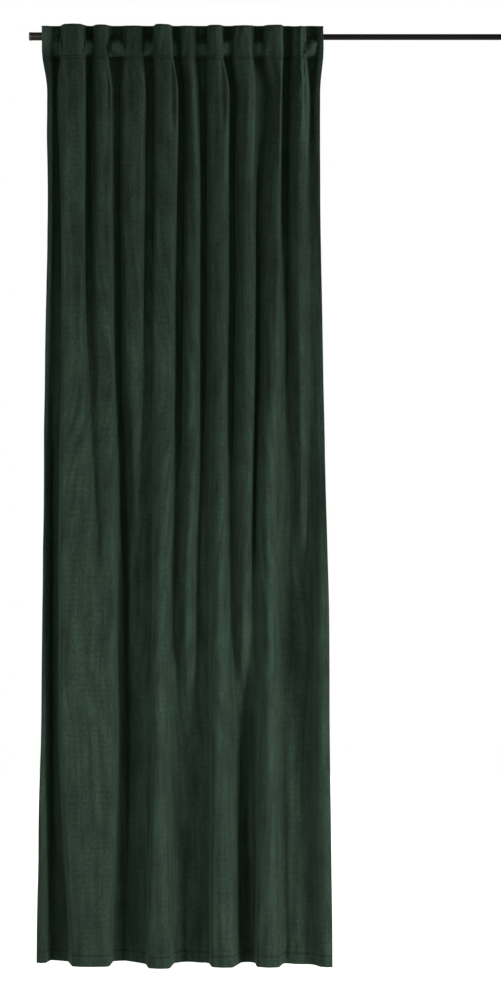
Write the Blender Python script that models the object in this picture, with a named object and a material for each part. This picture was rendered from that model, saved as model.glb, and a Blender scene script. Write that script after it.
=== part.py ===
"""A velvet curtain hanging in uneven folds from a telescopic rod.

Units are metres and +Z is up. The origin is on the axis of the rod's outer
tube, half way along the whole rod. The front of the cloth faces -Y.

The cloth hangs from ten straps sewn behind its heading, and the rod runs
through them. Between two straps the cloth stands forward in a fold. Nine
folds and two edges start at the heading, and they merge into five lower down.
"""
import math

import bpy
import numpy as np

FIT = 0.0003              # gap kept between two pieces that touch

# Rod
ROD_LENGTH = 1.300        # over both end plugs
OUTER_DIAMETER = 0.022
OUTER_WALL = 0.0010
OUTER_LENGTH = 0.766
INNER_DIAMETER = 0.016
INNER_WALL = 0.0008
INNER_LENGTH = 0.745
PLUG_FLANGE = 0.006       # length of the flange that shows
PLUG_LIP = 0.0004         # how far the flange stands out past its tube
PLUG_SPIGOT = 0.016       # length of the part pushed into the tube
PLUG_CHAMFER = 0.0008
ROD_SIDES = 32

# Cloth
CUT_WIDTH = 1.400         # flat width of the finished cloth
DROP = 2.500              # finished height
TOP_RISE = 0.024          # top edge above the rod's axis
CLOTH_THICKNESS = 0.0015
CLOTH_START = 0.0334      # left edge of the heading, from the rod's left end
HEM_SWING = 0.032         # how far the back of the folds has swung back by the hem

# Heading tape
TAPE_TOP = TOP_RISE - 0.0025
TAPE_HEIGHT = 0.093
TAPE_THICKNESS = 0.0010
TAPE_MARGIN = 0.011       # share of the cut width left bare at each end of the tape
TAPE_GAP = 0.0005         # between the tape and the cloth in front of it
TAPE_CLEARANCE = 0.0020   # between the tape's back and the rod

# Straps behind the heading
STRAP_WIDTH = 0.018
STRAP_THICKNESS = 0.0010
STRAP_TOP = 0.0195        # height of the strap's top end
STRAP_TURN = 0.0150       # where it leaves the tape, above the rod
STRAP_RETURN = -0.0600    # where it meets the tape again, below the rod
STRAP_END = -0.0690
STRAP_BEND = 0.0014       # how far each of these two bends is rounded
STRAP_ARC_STEPS = 9

# Fold chart: the cloth seen from above at nine heights, in millimetres from the left edge of the
# heading. A row gives a fold's left shoulder, its crest, its right shoulder and both ends of the
# valley floor to its right, each with its reach, which runs from 0 at the back to 1 at the front.
TOP, HEADING, UPPER, HIGH, SHOULDER = 0.020, -0.036, -0.156, -0.437, -0.870
MIDDLE, LOW, LOWER, HEM = -1.186, -1.560, -1.908, -2.475
CHART = {
    TOP: {
        "left_edge":  ((3, .45), (17, .44), (29, .36), (38, .00), (51, .00)),
        "first":      ((63, .88), (90, 1.0), (108, .88), (124, .00), (138, .00)),
        "second":     ((147, .70), (160, .80), (174, .70), (188, .00), (213, .00)),
        "third":      ((228, .56), (246, .60), (264, .56), (276, .00), (299, .00)),
        "fourth":     ((308, .92), (320, 1.0), (342, .84), (352, .00), (367, .00)),
        "fifth":      ((374, .54), (388, .60), (403, .55), (414, .00), (442, .00)),
        "sixth":      ((449, .72), (463, .80), (478, .74), (488, .00), (506, .00)),
        "seventh":    ((519, .62), (540, .70), (560, .64), (571, .00), (591, .00)),
        "eighth":     ((604, .80), (622, .86), (640, .85), (646, .00), (661, .00)),
        "ninth":      ((672, .46), (686, .50), (700, .49), (710, .00), (732, .00)),
        "right_edge": ((741, .46), (747, .48), (752, .49)),
    },
    HEADING: {
        "left_edge":  ((3, .45), (16, .46), (28, .43), (36, .00), (51, .00)),
        "first":      ((59, .92), (90, 1.0), (114, .94), (122, .00), (137, .00)),
        "second":     ((147, .76), (160, .84), (173, .81), (180, .00), (216, .00)),
        "third":      ((226, .58), (247, .64), (267, .61), (274, .00), (298, .00)),
        "fourth":     ((308, .90), (326, .98), (346, .94), (352, .00), (366, .00)),
        "fifth":      ((374, .52), (390, .58), (406, .55), (413, .00), (441, .00)),
        "sixth":      ((449, .72), (464, .80), (479, .79), (486, .00), (506, .00)),
        "seventh":    ((513, .68), (537, .76), (560, .75), (567, .00), (590, .00)),
        "eighth":     ((598, .80), (620, .88), (641, .90), (646, .00), (663, .00)),
        "ninth":      ((670, .44), (685, .50), (701, .52), (709, .00), (732, .00)),
        "right_edge": ((740, .48), (746, .49), (753, .50)),
    },
    UPPER: {
        "left_edge":  ((18, .55), (24, .60), (31, .58), (35, .12), (41, .16)),
        "first":      ((53, .86), (85, .91), (117, .93), (121, .05), (131, .16)),
        "second":     ((148, .70), (166, .83), (187, .83), (191, .36), (211, .26)),
        "third":      ((219, .70), (248, .79), (275, .84), (281, .10), (302, .18)),
        "fourth":     ((309, .73), (337, .92), (363, .93), (367, .00), (382, .10)),
        "fifth":      ((389, .58), (403, .78), (412, .68), (424, .04), (441, .08)),
        "sixth":      ((447, .65), (473, .85), (498, .90), (504, .02), (517, .08)),
        "seventh":    ((523, .52), (552, .86), (567, .74), (583, .17), (596, .22)),
        "eighth":     ((606, .38), (625, .70), (639, .90), (644, .00), (661, .05)),
        "ninth":      ((667, .56), (690, .86), (709, .74), (717, .16), (725, .20)),
        "right_edge": ((730, .40), (737, .44), (744, .45)),
    },
    HIGH: {
        "left_edge":  ((18, .58), (23, .63), (28, .60), (34, .16), (53, .27)),
        "first":      ((59, .93), (82, .85), (114, .92), (121, .08), (132, .15)),
        "second":     ((147, .78), (167, .85), (186, .86), (191, .30), (211, .00)),
        "third":      ((221, .64), (246, .78), (269, .83), (280, .14), (303, .30)),
        "fourth":     ((307, .75), (332, .91), (357, .97), (364, .00), (382, .05)),
        "fifth":      ((390, .62), (408, .79), (419, .80), (426, .02), (442, .12)),
        "sixth":      ((448, .64), (472, .85), (494, .90), (504, .05), (518, .06)),
        "seventh":    ((524, .56), (546, .83), (563, .87), (575, .05), (582, .20)),
        "eighth":     ((594, .45), (616, .77), (634, .93), (640, .03), (659, .00)),
        "ninth":      ((664, .52), (687, .80), (700, .77), (709, .34), (714, .32)),
        "right_edge": ((733, .52), (739, .58), (744, .60)),
    },
    SHOULDER: {
        "left_edge":  ((12, .58), (16, .63), (21, .60), (28, .40), (54, .44)),
        "first":      ((59, .97), (84, .91), (110, .92), (124, .54), (138, .57)),
        "second":     ((151, .83), (170, .90), (191, .90), (196, .30), (213, .08)),
        "third":      ((225, .62), (243, .77), (262, .77), (274, .45), (299, .42)),
        "fourth":     ((302, .83), (325, .93), (348, .97), (359, .16), (376, .08)),
        "fifth":      ((384, .65), (402, .82), (418, .84), (427, .05), (438, .16)),
        "sixth":      ((453, .62), (473, .85), (490, .92), (500, .20), (516, .08)),
        "seventh":    ((523, .57), (545, .84), (563, .91), (572, .06), (579, .18)),
        "eighth":     ((590, .50), (611, .84), (629, .95), (641, .44), (657, .14)),
        "ninth":      ((674, .51), (689, .74), (700, .74), (711, .42), (717, .39)),
        "right_edge": ((737, .54), (745, .60), (752, .62)),
    },
    MIDDLE: {
        "left_edge":  ((11, .58), (15, .64), (20, .60), (26, .20), (50, .50)),
        "first":      ((59, 1.0), (89, .94), (126, .95), (138, .78), (147, .76)),
        "second":     ((158, .88), (178, .95), (195, .98), (203, .38), (212, .16)),
        "third":      ((236, .44), (249, .58), (258, .58), (272, .52), (299, .47)),
        "fourth":     ((302, .85), (322, .98), (343, .97), (356, .56), (373, .47)),
        "fifth":      ((382, .72), (396, .88), (411, .86), (426, .42), (437, .48)),
        "sixth":      ((453, .72), (473, .92), (489, .95), (498, .59), (512, .55)),
        "seventh":    ((521, .74), (541, .90), (559, .93), (568, .40), (573, .50)),
        "eighth":     ((579, .78), (598, .97), (616, .97), (628, .32), (662, .24)),
        "ninth":      ((686, .46), (695, .56), (703, .48), (712, .28), (722, .30)),
        "right_edge": ((743, .56), (751, .62), (757, .66)),
    },
    LOW: {
        "left_edge":  ((7, .66), (12, .70), (18, .66), (24, .24), (50, .56)),
        "first":      ((59, 1.0), (92, .98), (132, .98), (150, .96), (162, .96)),
        "second":     ((174, .97), (188, .99), (200, .98), (206, .36), (223, .28)),
        "third":      ((238, .48), (258, .52), (279, .55), (290, .57), (297, .60)),
        "fourth":     ((302, .92), (321, 1.0), (338, .93), (349, .62), (363, .58)),
        "fifth":      ((376, .76), (390, .86), (404, .82), (418, .58), (446, .56)),
        "sixth":      ((457, .88), (477, 1.0), (492, .94), (504, .64), (514, .61)),
        "seventh":    ((526, .76), (541, .86), (552, .82), (563, .70), (571, .67)),
        "eighth":     ((582, .82), (606, 1.0), (624, .94), (634, .32), (660, .26)),
        "ninth":      ((688, .30), (700, .32), (709, .34), (717, .40), (725, .52)),
        "right_edge": ((735, .80), (750, .86), (766, .84)),
    },
    LOWER: {
        "left_edge":  ((2, .72), (9, .76), (16, .70), (23, .20), (51, .52)),
        "first":      ((60, .98), (94, .98), (133, .98), (155, .98), (168, .98)),
        "second":     ((180, .99), (191, 1.0), (200, .96), (207, .26), (227, .10)),
        "third":      ((245, .40), (260, .52), (277, .58), (288, .62), (296, .68)),
        "fourth":     ((302, .94), (321, 1.0), (336, .90), (346, .36), (362, .29)),
        "fifth":      ((384, .28), (403, .28), (418, .31), (432, .38), (450, .50)),
        "sixth":      ((459, .90), (480, 1.0), (496, .93), (509, .62), (523, .39)),
        "seventh":    ((537, .29), (548, .20), (558, .14), (566, .25), (575, .50)),
        "eighth":     ((582, .82), (606, 1.0), (624, .92), (637, .32), (655, .33)),
        "ninth":      ((679, .36), (694, .37), (704, .35), (713, .40), (721, .52)),
        "right_edge": ((731, .80), (750, .90), (768, .88)),
    },
    HEM: {
        "left_edge":  ((-10, .58), (3, .64), (14, .62), (24, .02), (71, .26)),
        "first":      ((86, .90), (111, .98), (136, 1.0), (157, .99), (168, .97)),
        "second":     ((175, .96), (180, .94), (185, .90), (192, .16), (221, .06)),
        "third":      ((238, .20), (250, .34), (262, .44), (272, .52), (280, .58)),
        "fourth":     ((288, .90), (316, 1.0), (344, .93), (354, .25), (380, .02)),
        "fifth":      ((397, .07), (413, .15), (428, .25), (439, .34), (448, .44)),
        "sixth":      ((456, .88), (483, 1.0), (511, .96), (521, .50), (532, .03)),
        "seventh":    ((542, .00), (551, .00), (560, .00), (566, .02), (571, .08)),
        "eighth":     ((575, .84), (605, 1.0), (634, .93), (646, .37), (658, .37)),
        "ninth":      ((678, .42), (694, .45), (708, .43), (719, .46), (729, .55)),
        "right_edge": ((742, .80), (757, .92), (776, .90)),
    },
}
FOLD_NAMES = tuple(CHART[HEADING])
SECTION_HEIGHTS = tuple(CHART)

# How far below the finished drop the hem hangs at each fold and at the floor to its right, in millimetres
HEM_HANG = {"left_edge": (-6, -5), "first": (-1, -1), "second": (-1, -4), "third": (-4, -3), "fourth": (4, 0),
            "fifth": (-1, -3), "sixth": (1, 2), "seventh": (1, 2), "eighth": (1, -1), "ninth": (0, 0),
            "right_edge": (1, 0)}

# By section, from the top: radius of the bends, share of the hem's swing back and of its hang
BEND_RADIUS = (0.0032, 0.0030, 0.0034, 0.0042, 0.0048, 0.0056, 0.0064, 0.0068, 0.0048)
BACK_SWING = (0.00, 0.00, 0.02, 0.20, 0.46, 0.65, 0.82, 0.91, 1.00)
HANG_SHARE = (0.00, 0.00, 0.00, 0.00, 0.00, 0.00, 0.00, 0.10, 1.00)

# How far the cloth and its tape bulge forward in each recess of the heading, from left to right.
# A bulge starts below the straps' top ends and finishes above their lower ends
BULGES = (0.042, 0.039, 0.043, 0.040, 0.016, 0.031, 0.037, 0.039, 0.002, 0.034)
BULGE_TOP = 0.0060
BULGE_FULL = (-0.026, -0.052)
BULGE_FOOT = -0.0652

# Mesh of the cloth: its rows, and its columns as shares of the way between two corners
ROW_HEIGHTS = (TOP_RISE, TAPE_TOP, BULGE_TOP, *BULGE_FULL, BULGE_FOOT, TAPE_TOP - TAPE_HEIGHT, -0.098,
               UPPER, -0.270, HIGH, -0.640, SHOULDER, MIDDLE, LOW, LOWER, -2.200, TOP_RISE - DROP)
TAPE_ROWS = slice(1, 7)
TO_CREST = (0.20, 1.00)
FROM_CREST = (0.80,)
WALL = (0.22, 0.78)
FLOOR = (0.30, 1.00)
SLOPE = (0.50, 0.90)
SIDE = (1.00,)
LAYOUT_POINTS = 1401      # points along a section while its depth is worked out

VELVET = (0.035, 0.085, 0.055)
TAPE_WHITE = (0.62, 0.62, 0.58)
BLACK = (0.012, 0.011, 0.010)


def clear_scene():
    """Remove every object, so that only this model is left."""
    for thing in list(bpy.data.objects):
        bpy.data.objects.remove(thing, do_unlink=True)


def plain_material(name, colour, roughness, metallic=0.0):
    """A Principled material in one colour."""
    finish = bpy.data.materials.new(name)
    finish.use_nodes = True
    shader = finish.node_tree.nodes["Principled BSDF"]
    shader.inputs["Base Color"].default_value = (*colour, 1.0)
    shader.inputs["Roughness"].default_value = roughness
    shader.inputs["Metallic"].default_value = metallic
    return finish


def add_piece(name, vertices, faces, finish, place=(0.0, 0.0, 0.0)):
    """Make one mesh object from its points and faces, shaded smooth between its sharp edges."""
    mesh = bpy.data.meshes.new(name)
    mesh.from_pydata([tuple(float(value) for value in point) for point in vertices], [], faces)
    mesh.materials.append(finish)
    mesh.shade_smooth()
    mesh.set_sharp_from_angle(angle=math.radians(40.0))
    piece = bpy.data.objects.new(name, mesh)
    piece.location = place
    bpy.context.scene.collection.objects.link(piece)
    return piece


# Folds of the cloth

def at_height(z, values):
    """Read a chart row at height z, on a curve through its values that never overshoots."""
    heights = -np.array(SECTION_HEIGHTS)
    values = np.array(values, dtype=float)
    down = min(max(-z, heights[0]), heights[-1])
    steps = np.diff(heights)
    slopes = np.diff(values) / steps
    tangents = np.zeros(len(values))
    for i in range(1, len(values) - 1):
        if slopes[i - 1] * slopes[i] > 0:
            tangents[i] = 2 * slopes[i - 1] * slopes[i] / (slopes[i - 1] + slopes[i])
    i = min(int(np.searchsorted(heights, down, side="right")) - 1, len(steps) - 1)
    t = (down - heights[i]) / steps[i]
    flat = values[i] * (1 + 2 * t) * (1 - t) ** 2 + values[i + 1] * t * t * (3 - 2 * t)
    turn = tangents[i] * t * (1 - t) ** 2 - tangents[i + 1] * t * t * (1 - t)
    return float(flat + steps[i] * turn)


def corners_at(z):
    """Corners of the section at height z: millimetres along the rod, reach and hem hang."""
    corners = []
    for name in FOLD_NAMES:
        sections = [CHART[height][name] for height in SECTION_HEIGHTS]
        for i, points in enumerate(zip(*sections)):
            along, reach = [at_height(z, values) for values in zip(*points)]
            corners.append((along, reach, HEM_HANG[name][i > 2]))
    return np.array(corners)


def even_points(line):
    """Evenly spaced points along a line, and how far along it each of its corners is."""
    along = np.concatenate([[0.0], np.cumsum(np.hypot(*np.diff(line[:, :2], axis=0).T))])
    places = np.linspace(0.0, along[-1], LAYOUT_POINTS)
    points = np.column_stack([np.interp(places, along, values) for values in line.T])
    return points, along / along[-1]


def soften(points, radius):
    """Round the bends of a line of evenly spaced points, keeping its two ends."""
    step = np.hypot(*(points[1] - points[0])[:2])
    reach = int(math.ceil(3 * radius / step))
    weights = np.exp(-0.5 * (np.arange(-reach, reach + 1) * step / radius) ** 2)
    weights /= weights.sum()
    before = 2 * points[0] - points[reach:0:-1]
    after = 2 * points[-1] - points[-2:-reach - 2:-1]
    padded = np.vstack([before, points, after])
    return np.column_stack([np.convolve(values, weights, mode="valid") for values in padded.T])


def length_of(points):
    """Length of a line of points, seen from above."""
    return np.hypot(*np.diff(points[:, :2], axis=0).T).sum()


def back_of_folds(z):
    """Where the middle of the cloth's thickness lies at the back of its folds."""
    behind_cloth = OUTER_DIAMETER / 2 + TAPE_CLEARANCE + TAPE_THICKNESS + TAPE_GAP
    return HEM_SWING * at_height(z, BACK_SWING) - behind_cloth - CLOTH_THICKNESS / 2


def section(z):
    """The cloth's middle line at height z, folded just deep enough to use up the cut width."""
    corners = corners_at(z)
    start = CLOTH_START - ROD_LENGTH / 2
    shallow, deep = 0.0, 0.3
    for _ in range(30):
        depth = (shallow + deep) / 2
        line = np.column_stack([start + corners[:, 0] / 1000, back_of_folds(z) - depth * corners[:, 1],
                                corners[:, 2] / 1000])
        points, shares = even_points(line)
        points = soften(points, at_height(z, BEND_RADIUS))
        if length_of(points) < CUT_WIDTH:
            shallow = depth
        else:
            deep = depth
    return points, shares


def column_shares(shares):
    """Shares of the cut width where the mesh has its columns, two or more between corners."""
    fold = [TO_CREST, FROM_CREST, WALL, FLOOR, SLOPE]
    spans = [SIDE, SIDE, WALL, FLOOR, SLOPE] + fold * (len(FOLD_NAMES) - 2) + [SIDE, SIDE]
    columns = [0.0]
    for first, last, span in zip(shares, shares[1:], spans):
        columns += [first + (last - first) * part for part in span]
    return np.array(columns)


def eased(value, start, end):
    """A smooth step from 0 at the start to 1 at the end."""
    t = np.clip((value - start) / (end - start), 0.0, 1.0)
    return t * t * (3 - 2 * t)


def bulge(z, places, shares):
    """How far the cloth bulges forward at height z, at these shares of its cut width."""
    window = eased(z, BULGE_TOP, BULGE_FULL[0]) * (1 - eased(z, BULGE_FULL[1], BULGE_FOOT))
    forward = np.zeros(len(places))
    for fold, size in enumerate(BULGES):
        first, last = shares[5 * fold + 2], shares[5 * fold + 5]
        place = np.clip((places - first) / (last - first), 0.0, 1.0)
        forward += size * window * np.sin(math.pi * place) ** 2
    return forward


def cloth_rows():
    """Middle line, backward normals and column shares of the cloth at each row of its mesh."""
    rows = []
    for z in ROW_HEIGHTS:
        points, shares = section(z)
        columns = column_shares(shares)
        places = np.linspace(0.0, 1.0, len(points))
        points[:, 1] -= bulge(z, places, shares)
        tangents = np.gradient(points[:, :2], axis=0)
        middle = np.column_stack([np.interp(columns, places, values) for values in points.T])
        along = np.column_stack([np.interp(columns, places, values) for values in tangents.T])
        along /= np.linalg.norm(along, axis=1)[:, None]
        middle[:, 2] = z - middle[:, 2] * at_height(z, HANG_SHARE)
        normals = np.column_stack([-along[:, 1], along[:, 0], np.zeros(len(along))])
        rows.append((middle, normals, columns))
    return rows


def sheet(name, rows, thickness, behind, finish, margin=0.0):
    """A closed sheet that follows the cloth's rows, its middle a distance behind the cloth's."""
    shares = rows[0][2]
    kept = np.flatnonzero((shares >= margin) & (shares <= 1 - margin))
    sides = []
    for offset in (behind - thickness / 2, behind + thickness / 2):
        sides += [middle[kept] + offset * normals[kept] for middle, normals, _ in rows]
    width, height = len(kept), len(rows)

    def corner(row, column, side):
        return (side * height + row) * width + column

    faces = []
    for row in range(height - 1):
        for column in range(width - 1):
            lower = [(row, column), (row + 1, column), (row + 1, column + 1)]
            upper = [(row, column), (row + 1, column + 1), (row, column + 1)]
            for half in (lower, upper):
                faces.append([corner(*place, 0) for place in half])
                faces.append([corner(*place, 1) for place in reversed(half)])
    rim = [(0, column) for column in range(width)]
    rim += [(row, width - 1) for row in range(1, height)]
    rim += [(height - 1, column) for column in range(width - 2, -1, -1)]
    rim += [(row, 0) for row in range(height - 2, 0, -1)]
    for place, following in zip(rim, rim[1:] + rim[:1]):
        faces.append([corner(*place, 0), corner(*following, 0), corner(*following, 1), corner(*place, 1)])
    return add_piece(name, np.vstack(sides), faces, finish)


# Straps

def recess_centres():
    """Where the ten recesses of the heading are along the rod, one to the right of each fold but the last."""
    start = CLOTH_START - ROD_LENGTH / 2
    rows = [CHART[HEADING][name] for name in FOLD_NAMES[:-1]]
    return [start + (row[3][0] + row[4][0]) / 2000 for row in rows]


def strap_path():
    """Middle line of a strap in the YZ plane: down the tape, over the rod and back to the tape."""
    at_tape = STRAP_THICKNESS / 2 + FIT - OUTER_DIAMETER / 2 - TAPE_CLEARANCE
    facet_slack = OUTER_DIAMETER / 2 * (1 - math.cos(math.radians(6.0)))
    radius = OUTER_DIAMETER / 2 + FIT + facet_slack + STRAP_THICKNESS / 2
    turn = (at_tape + STRAP_BEND, STRAP_TURN)
    back = (at_tape + STRAP_BEND * 0.6, STRAP_RETURN + STRAP_BEND)
    over = math.atan2(turn[1], turn[0]) - math.acos(radius / math.hypot(*turn))
    under = math.atan2(back[1], back[0]) + math.acos(radius / math.hypot(*back))
    path = [(at_tape, STRAP_TOP), (at_tape, STRAP_TURN + STRAP_BEND), turn]
    for step in range(STRAP_ARC_STEPS + 1):
        angle = over + (under - over) * step / STRAP_ARC_STEPS
        path.append((radius * math.cos(angle), radius * math.sin(angle)))
    path += [back, (at_tape, STRAP_RETURN - STRAP_BEND), (at_tape, STRAP_END)]
    return np.array(path)


def strap(name, centre, path, finish):
    """A flat strap, as wide along the rod as STRAP_WIDTH, that follows the path."""
    steps = np.diff(path, axis=0)
    steps /= np.linalg.norm(steps, axis=1)[:, None]
    normals = np.column_stack([-steps[:, 1], steps[:, 0]])
    joined = np.vstack([normals[:1], normals[:-1] + normals[1:], normals[-1:]])
    joined /= np.linalg.norm(joined, axis=1)[:, None]
    stretch = 1 / np.concatenate([[1.0], (joined[1:-1] * normals[1:]).sum(axis=1), [1.0]])
    offset = joined * stretch[:, None] * STRAP_THICKNESS / 2
    loops = [path + offset, path - offset]
    vertices = []
    for x in (centre - STRAP_WIDTH / 2, centre + STRAP_WIDTH / 2):
        for loop in loops:
            vertices += [(x, y, z) for y, z in loop]
    count = len(path)
    near_a, near_b, far_a, far_b = (number * count for number in range(4))
    faces = []
    for i in range(count - 1):
        faces.append((near_a + i, near_a + i + 1, near_b + i + 1, near_b + i))
        faces.append((far_a + i, far_b + i, far_b + i + 1, far_a + i + 1))
        faces.append((near_a + i, far_a + i, far_a + i + 1, near_a + i + 1))
        faces.append((near_b + i, near_b + i + 1, far_b + i + 1, far_b + i))
    last = count - 1
    faces.append((near_a, near_b, far_b, far_a))
    faces.append((near_a + last, far_a + last, far_b + last, near_b + last))
    return add_piece(name, vertices, faces, finish)


# Rod

def turned(name, profile, finish, place):
    """A solid turned about the X axis from a closed profile of (x, radius) points.

    A point on the axis is one vertex, and the others are rings.
    """
    vertices, rings = [], []
    for x, radius in profile:
        if radius == 0.0:
            rings.append([len(vertices)])
            vertices.append((x, 0.0, 0.0))
            continue
        rings.append(list(range(len(vertices), len(vertices) + ROD_SIDES)))
        for side in range(ROD_SIDES):
            angle = 2 * math.pi * side / ROD_SIDES
            vertices.append((x, radius * math.sin(angle), radius * math.cos(angle)))
    faces = []
    for ring, following in zip(rings, rings[1:] + rings[:1]):
        if len(ring) == 1 and len(following) == 1:
            continue
        for side in range(ROD_SIDES):
            after = (side + 1) % ROD_SIDES
            if len(ring) == 1:
                faces.append((ring[0], following[after], following[side]))
            elif len(following) == 1:
                faces.append((ring[side], ring[after], following[0]))
            else:
                faces.append((ring[side], ring[after], following[after], following[side]))
    return add_piece(name, vertices, faces, finish, place)


def tube(name, diameter, wall, length, left_end, height, finish):
    """An open tube along the rod, from its left end."""
    outside = diameter / 2
    inside = outside - wall
    profile = [(0.0, outside), (0.0, inside), (length, inside), (length, outside)]
    return turned(name, profile, finish, (left_end, 0.0, height))


def plug(name, diameter, wall, direction, outer_end, height, finish):
    """A flanged plug in a tube's end. Direction is 1 at the right end and -1 at the left."""
    flange = diameter / 2 + PLUG_LIP
    spigot = diameter / 2 - wall - FIT
    flat = flange - PLUG_CHAMFER
    tip = -PLUG_FLANGE - PLUG_SPIGOT
    profile = [(0.0, 0.0), (0.0, flat), (-PLUG_CHAMFER, flange), (-PLUG_FLANGE, flange),
               (-PLUG_FLANGE, spigot), (tip, spigot), (tip, 0.0)]
    if direction < 0:
        profile = [(-x, radius) for x, radius in reversed(profile)]
    return turned(name, profile, finish, (outer_end, 0.0, height))


def build_rod():
    """Both tubes, the thinner one lying on the bottom of the thicker one, and a plug at each end."""
    steel = plain_material("black_painted_steel", BLACK, 0.35, 0.0)
    plastic = plain_material("black_plastic", BLACK, 0.45)
    half = ROD_LENGTH / 2
    drop = OUTER_DIAMETER / 2 - OUTER_WALL - FIT - INNER_DIAMETER / 2
    tube("rod_outer_tube", OUTER_DIAMETER, OUTER_WALL, OUTER_LENGTH,
         PLUG_FLANGE + FIT - half, 0.0, steel)
    tube("rod_inner_tube", INNER_DIAMETER, INNER_WALL, INNER_LENGTH,
         half - PLUG_FLANGE - FIT - INNER_LENGTH, -drop, steel)
    plug("rod_plug_left", OUTER_DIAMETER, OUTER_WALL, -1, -half, 0.0, plastic)
    plug("rod_plug_right", INNER_DIAMETER, INNER_WALL, 1, half, -drop, plastic)


def build_cloth():
    """The curtain, the tape behind its heading and the straps behind the tape."""
    velvet = plain_material("green_velvet", VELVET, 0.9)
    webbing = plain_material("tape_webbing", TAPE_WHITE, 0.85)
    rows = cloth_rows()
    sheet("curtain_panel", rows, CLOTH_THICKNESS, 0.0, velvet)
    behind = CLOTH_THICKNESS / 2 + TAPE_GAP + TAPE_THICKNESS / 2
    sheet("heading_tape", rows[TAPE_ROWS], TAPE_THICKNESS, behind, webbing, TAPE_MARGIN)
    path = strap_path()
    for number, centre in enumerate(recess_centres(), start=1):
        strap(f"back_loop_{number:02d}", centre, path, webbing)


clear_scene()
build_rod()
build_cloth()
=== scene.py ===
"""The looks of a velvet curtain that hangs in uneven folds from a telescopic rod.

Units are metres and +Z is up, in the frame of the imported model: the origin is on the rod's axis
half way along it, and the front of the cloth faces -Y.

The cloth is one closed sheet on the folds of its solid. Its puffs, creases and stitched hems
are shaped here, and so are the tape and the ten straps behind its heading.
"""
import math

import bpy
import numpy as np
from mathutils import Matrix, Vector


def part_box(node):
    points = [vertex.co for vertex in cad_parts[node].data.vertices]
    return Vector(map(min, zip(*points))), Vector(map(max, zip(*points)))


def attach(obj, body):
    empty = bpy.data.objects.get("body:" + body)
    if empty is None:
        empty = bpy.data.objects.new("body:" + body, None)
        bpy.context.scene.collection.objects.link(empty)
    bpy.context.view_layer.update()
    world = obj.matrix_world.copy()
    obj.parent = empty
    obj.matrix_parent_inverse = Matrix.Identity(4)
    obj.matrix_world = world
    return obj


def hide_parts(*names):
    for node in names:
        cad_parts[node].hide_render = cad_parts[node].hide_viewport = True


# Cloth, as in its solid
CUT_WIDTH = 1.400         # flat width of the finished cloth
DROP = 2.500              # finished height
CLOTH_THICKNESS = 0.0015
CLOTH_START = 0.0334      # left edge of the heading, from the rod's left end
HEM_SWING = 0.032         # how far the back of the folds has swung back by the hem

# Heading tape and straps, as in their solids
TAPE_DROP = 0.0025        # top of the tape, below the top edge of the cloth
TAPE_HEIGHT = 0.093
TAPE_THICKNESS = 0.0010
TAPE_GAP = 0.0005         # between the tape and the cloth in front of it
TAPE_CLEARANCE = 0.0020   # between the tape's back and the rod
FIT = 0.0003              # gap kept between two pieces that touch
STRAP_WIDTH = 0.018
STRAP_THICKNESS = 0.0010
STRAP_TOP = 0.0195        # heights of a strap's two ends and of its bends, from the rod's axis
STRAP_TURN = 0.0150
STRAP_RETURN = -0.0600
STRAP_END = -0.0690
STRAP_BEND = 0.0014
STRAP_EASE = 0.0001       # added to the fit where a strap goes round the rod

# Hems and stitching
HEM_HEIGHT = 0.032        # turned up behind the bottom edge
SIDE_HEM = 0.0145         # turned in behind each side edge
HEM_DEPTH = 0.0012        # how far a turned hem stands out behind the cloth
HEM_RAMP = 0.0012         # width over which it does so
HEM_STITCH = 0.029        # row of stitches above the bottom edge
SIDE_STITCH = 0.0125      # row of stitches in from each side edge
TOP_STITCH = 0.0034       # row of stitches below the top edge
TAPE_STITCHES = (0.0840, 0.0920)   # both rows at the tape's foot, below the top edge
STITCHED_ROWS = (TOP_STITCH, *TAPE_STITCHES, DROP - HEM_STITCH)   # all below the top edge
TAPE_TOP_STITCH = 0.0054  # row of stitches along the tape's own top, below the top edge
STRAP_STITCHES = (0.0014, 0.0030)         # rows from a strap's upper end
STRAP_FOOT_STITCHES = (0.0070, 0.0025)    # rows from its lower end
GROOVE_DEPTH = 0.0007
GROOVE_WIDTH = 0.0013
EDGE_ROUNDING = 0.0012
CORD_POCKETS = (0.018, 0.045, 0.070)   # woven pockets of the tape's cords, below its top edge
POCKET_WIDTH = 0.0042
POCKET_RISE = 0.0002
THREAD_LIFT = 0.0001      # of the stitches off the back of the tape
STITCH_SIZES = {"Pitch": 0.0042, "Stitch Length": 0.0031, "Thread Radius": 0.0003}
PAINTED_ROW_SHADE = 0.45       # painted shade along a row of stitches, for the groove it pulls in: share of the pile's colour left on the row
PAINTED_ROW_SHADE_CORE = 0.0004    # distances from a row where the painted shade is full, and where it ends
PAINTED_ROW_SHADE_WIDTH = 0.0030

# Rod, as in its solids
OUTER_WALL = 0.0010
INNER_WALL = 0.0008
TUBE_ROUNDING = 0.0003
PLUG_RING = 0.0004        # depth of the ring in a plug's end face
PLUG_ROUNDING = 0.0012
ROD_SIDES = 72            # faces around each turned piece

WAVE_LENGTH = math.tau / 20   # pitch of the wave texture's bands at a scale of 1

# Pitch of the ribs in each weave, down the cloth and across it
VELVET_RIBS = 0.01496
BACKING_RIBS = (0.0069813333, 0.008976)
WEBBING_RIBS = (0.00502656, 0.0062832)

# Velvet pile in its darkest and lightest shades
PILE_DARK = (0.0, 0.0, 0.0)
PILE_LIGHT = (0.0190, 0.0360, 0.0237)

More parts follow.
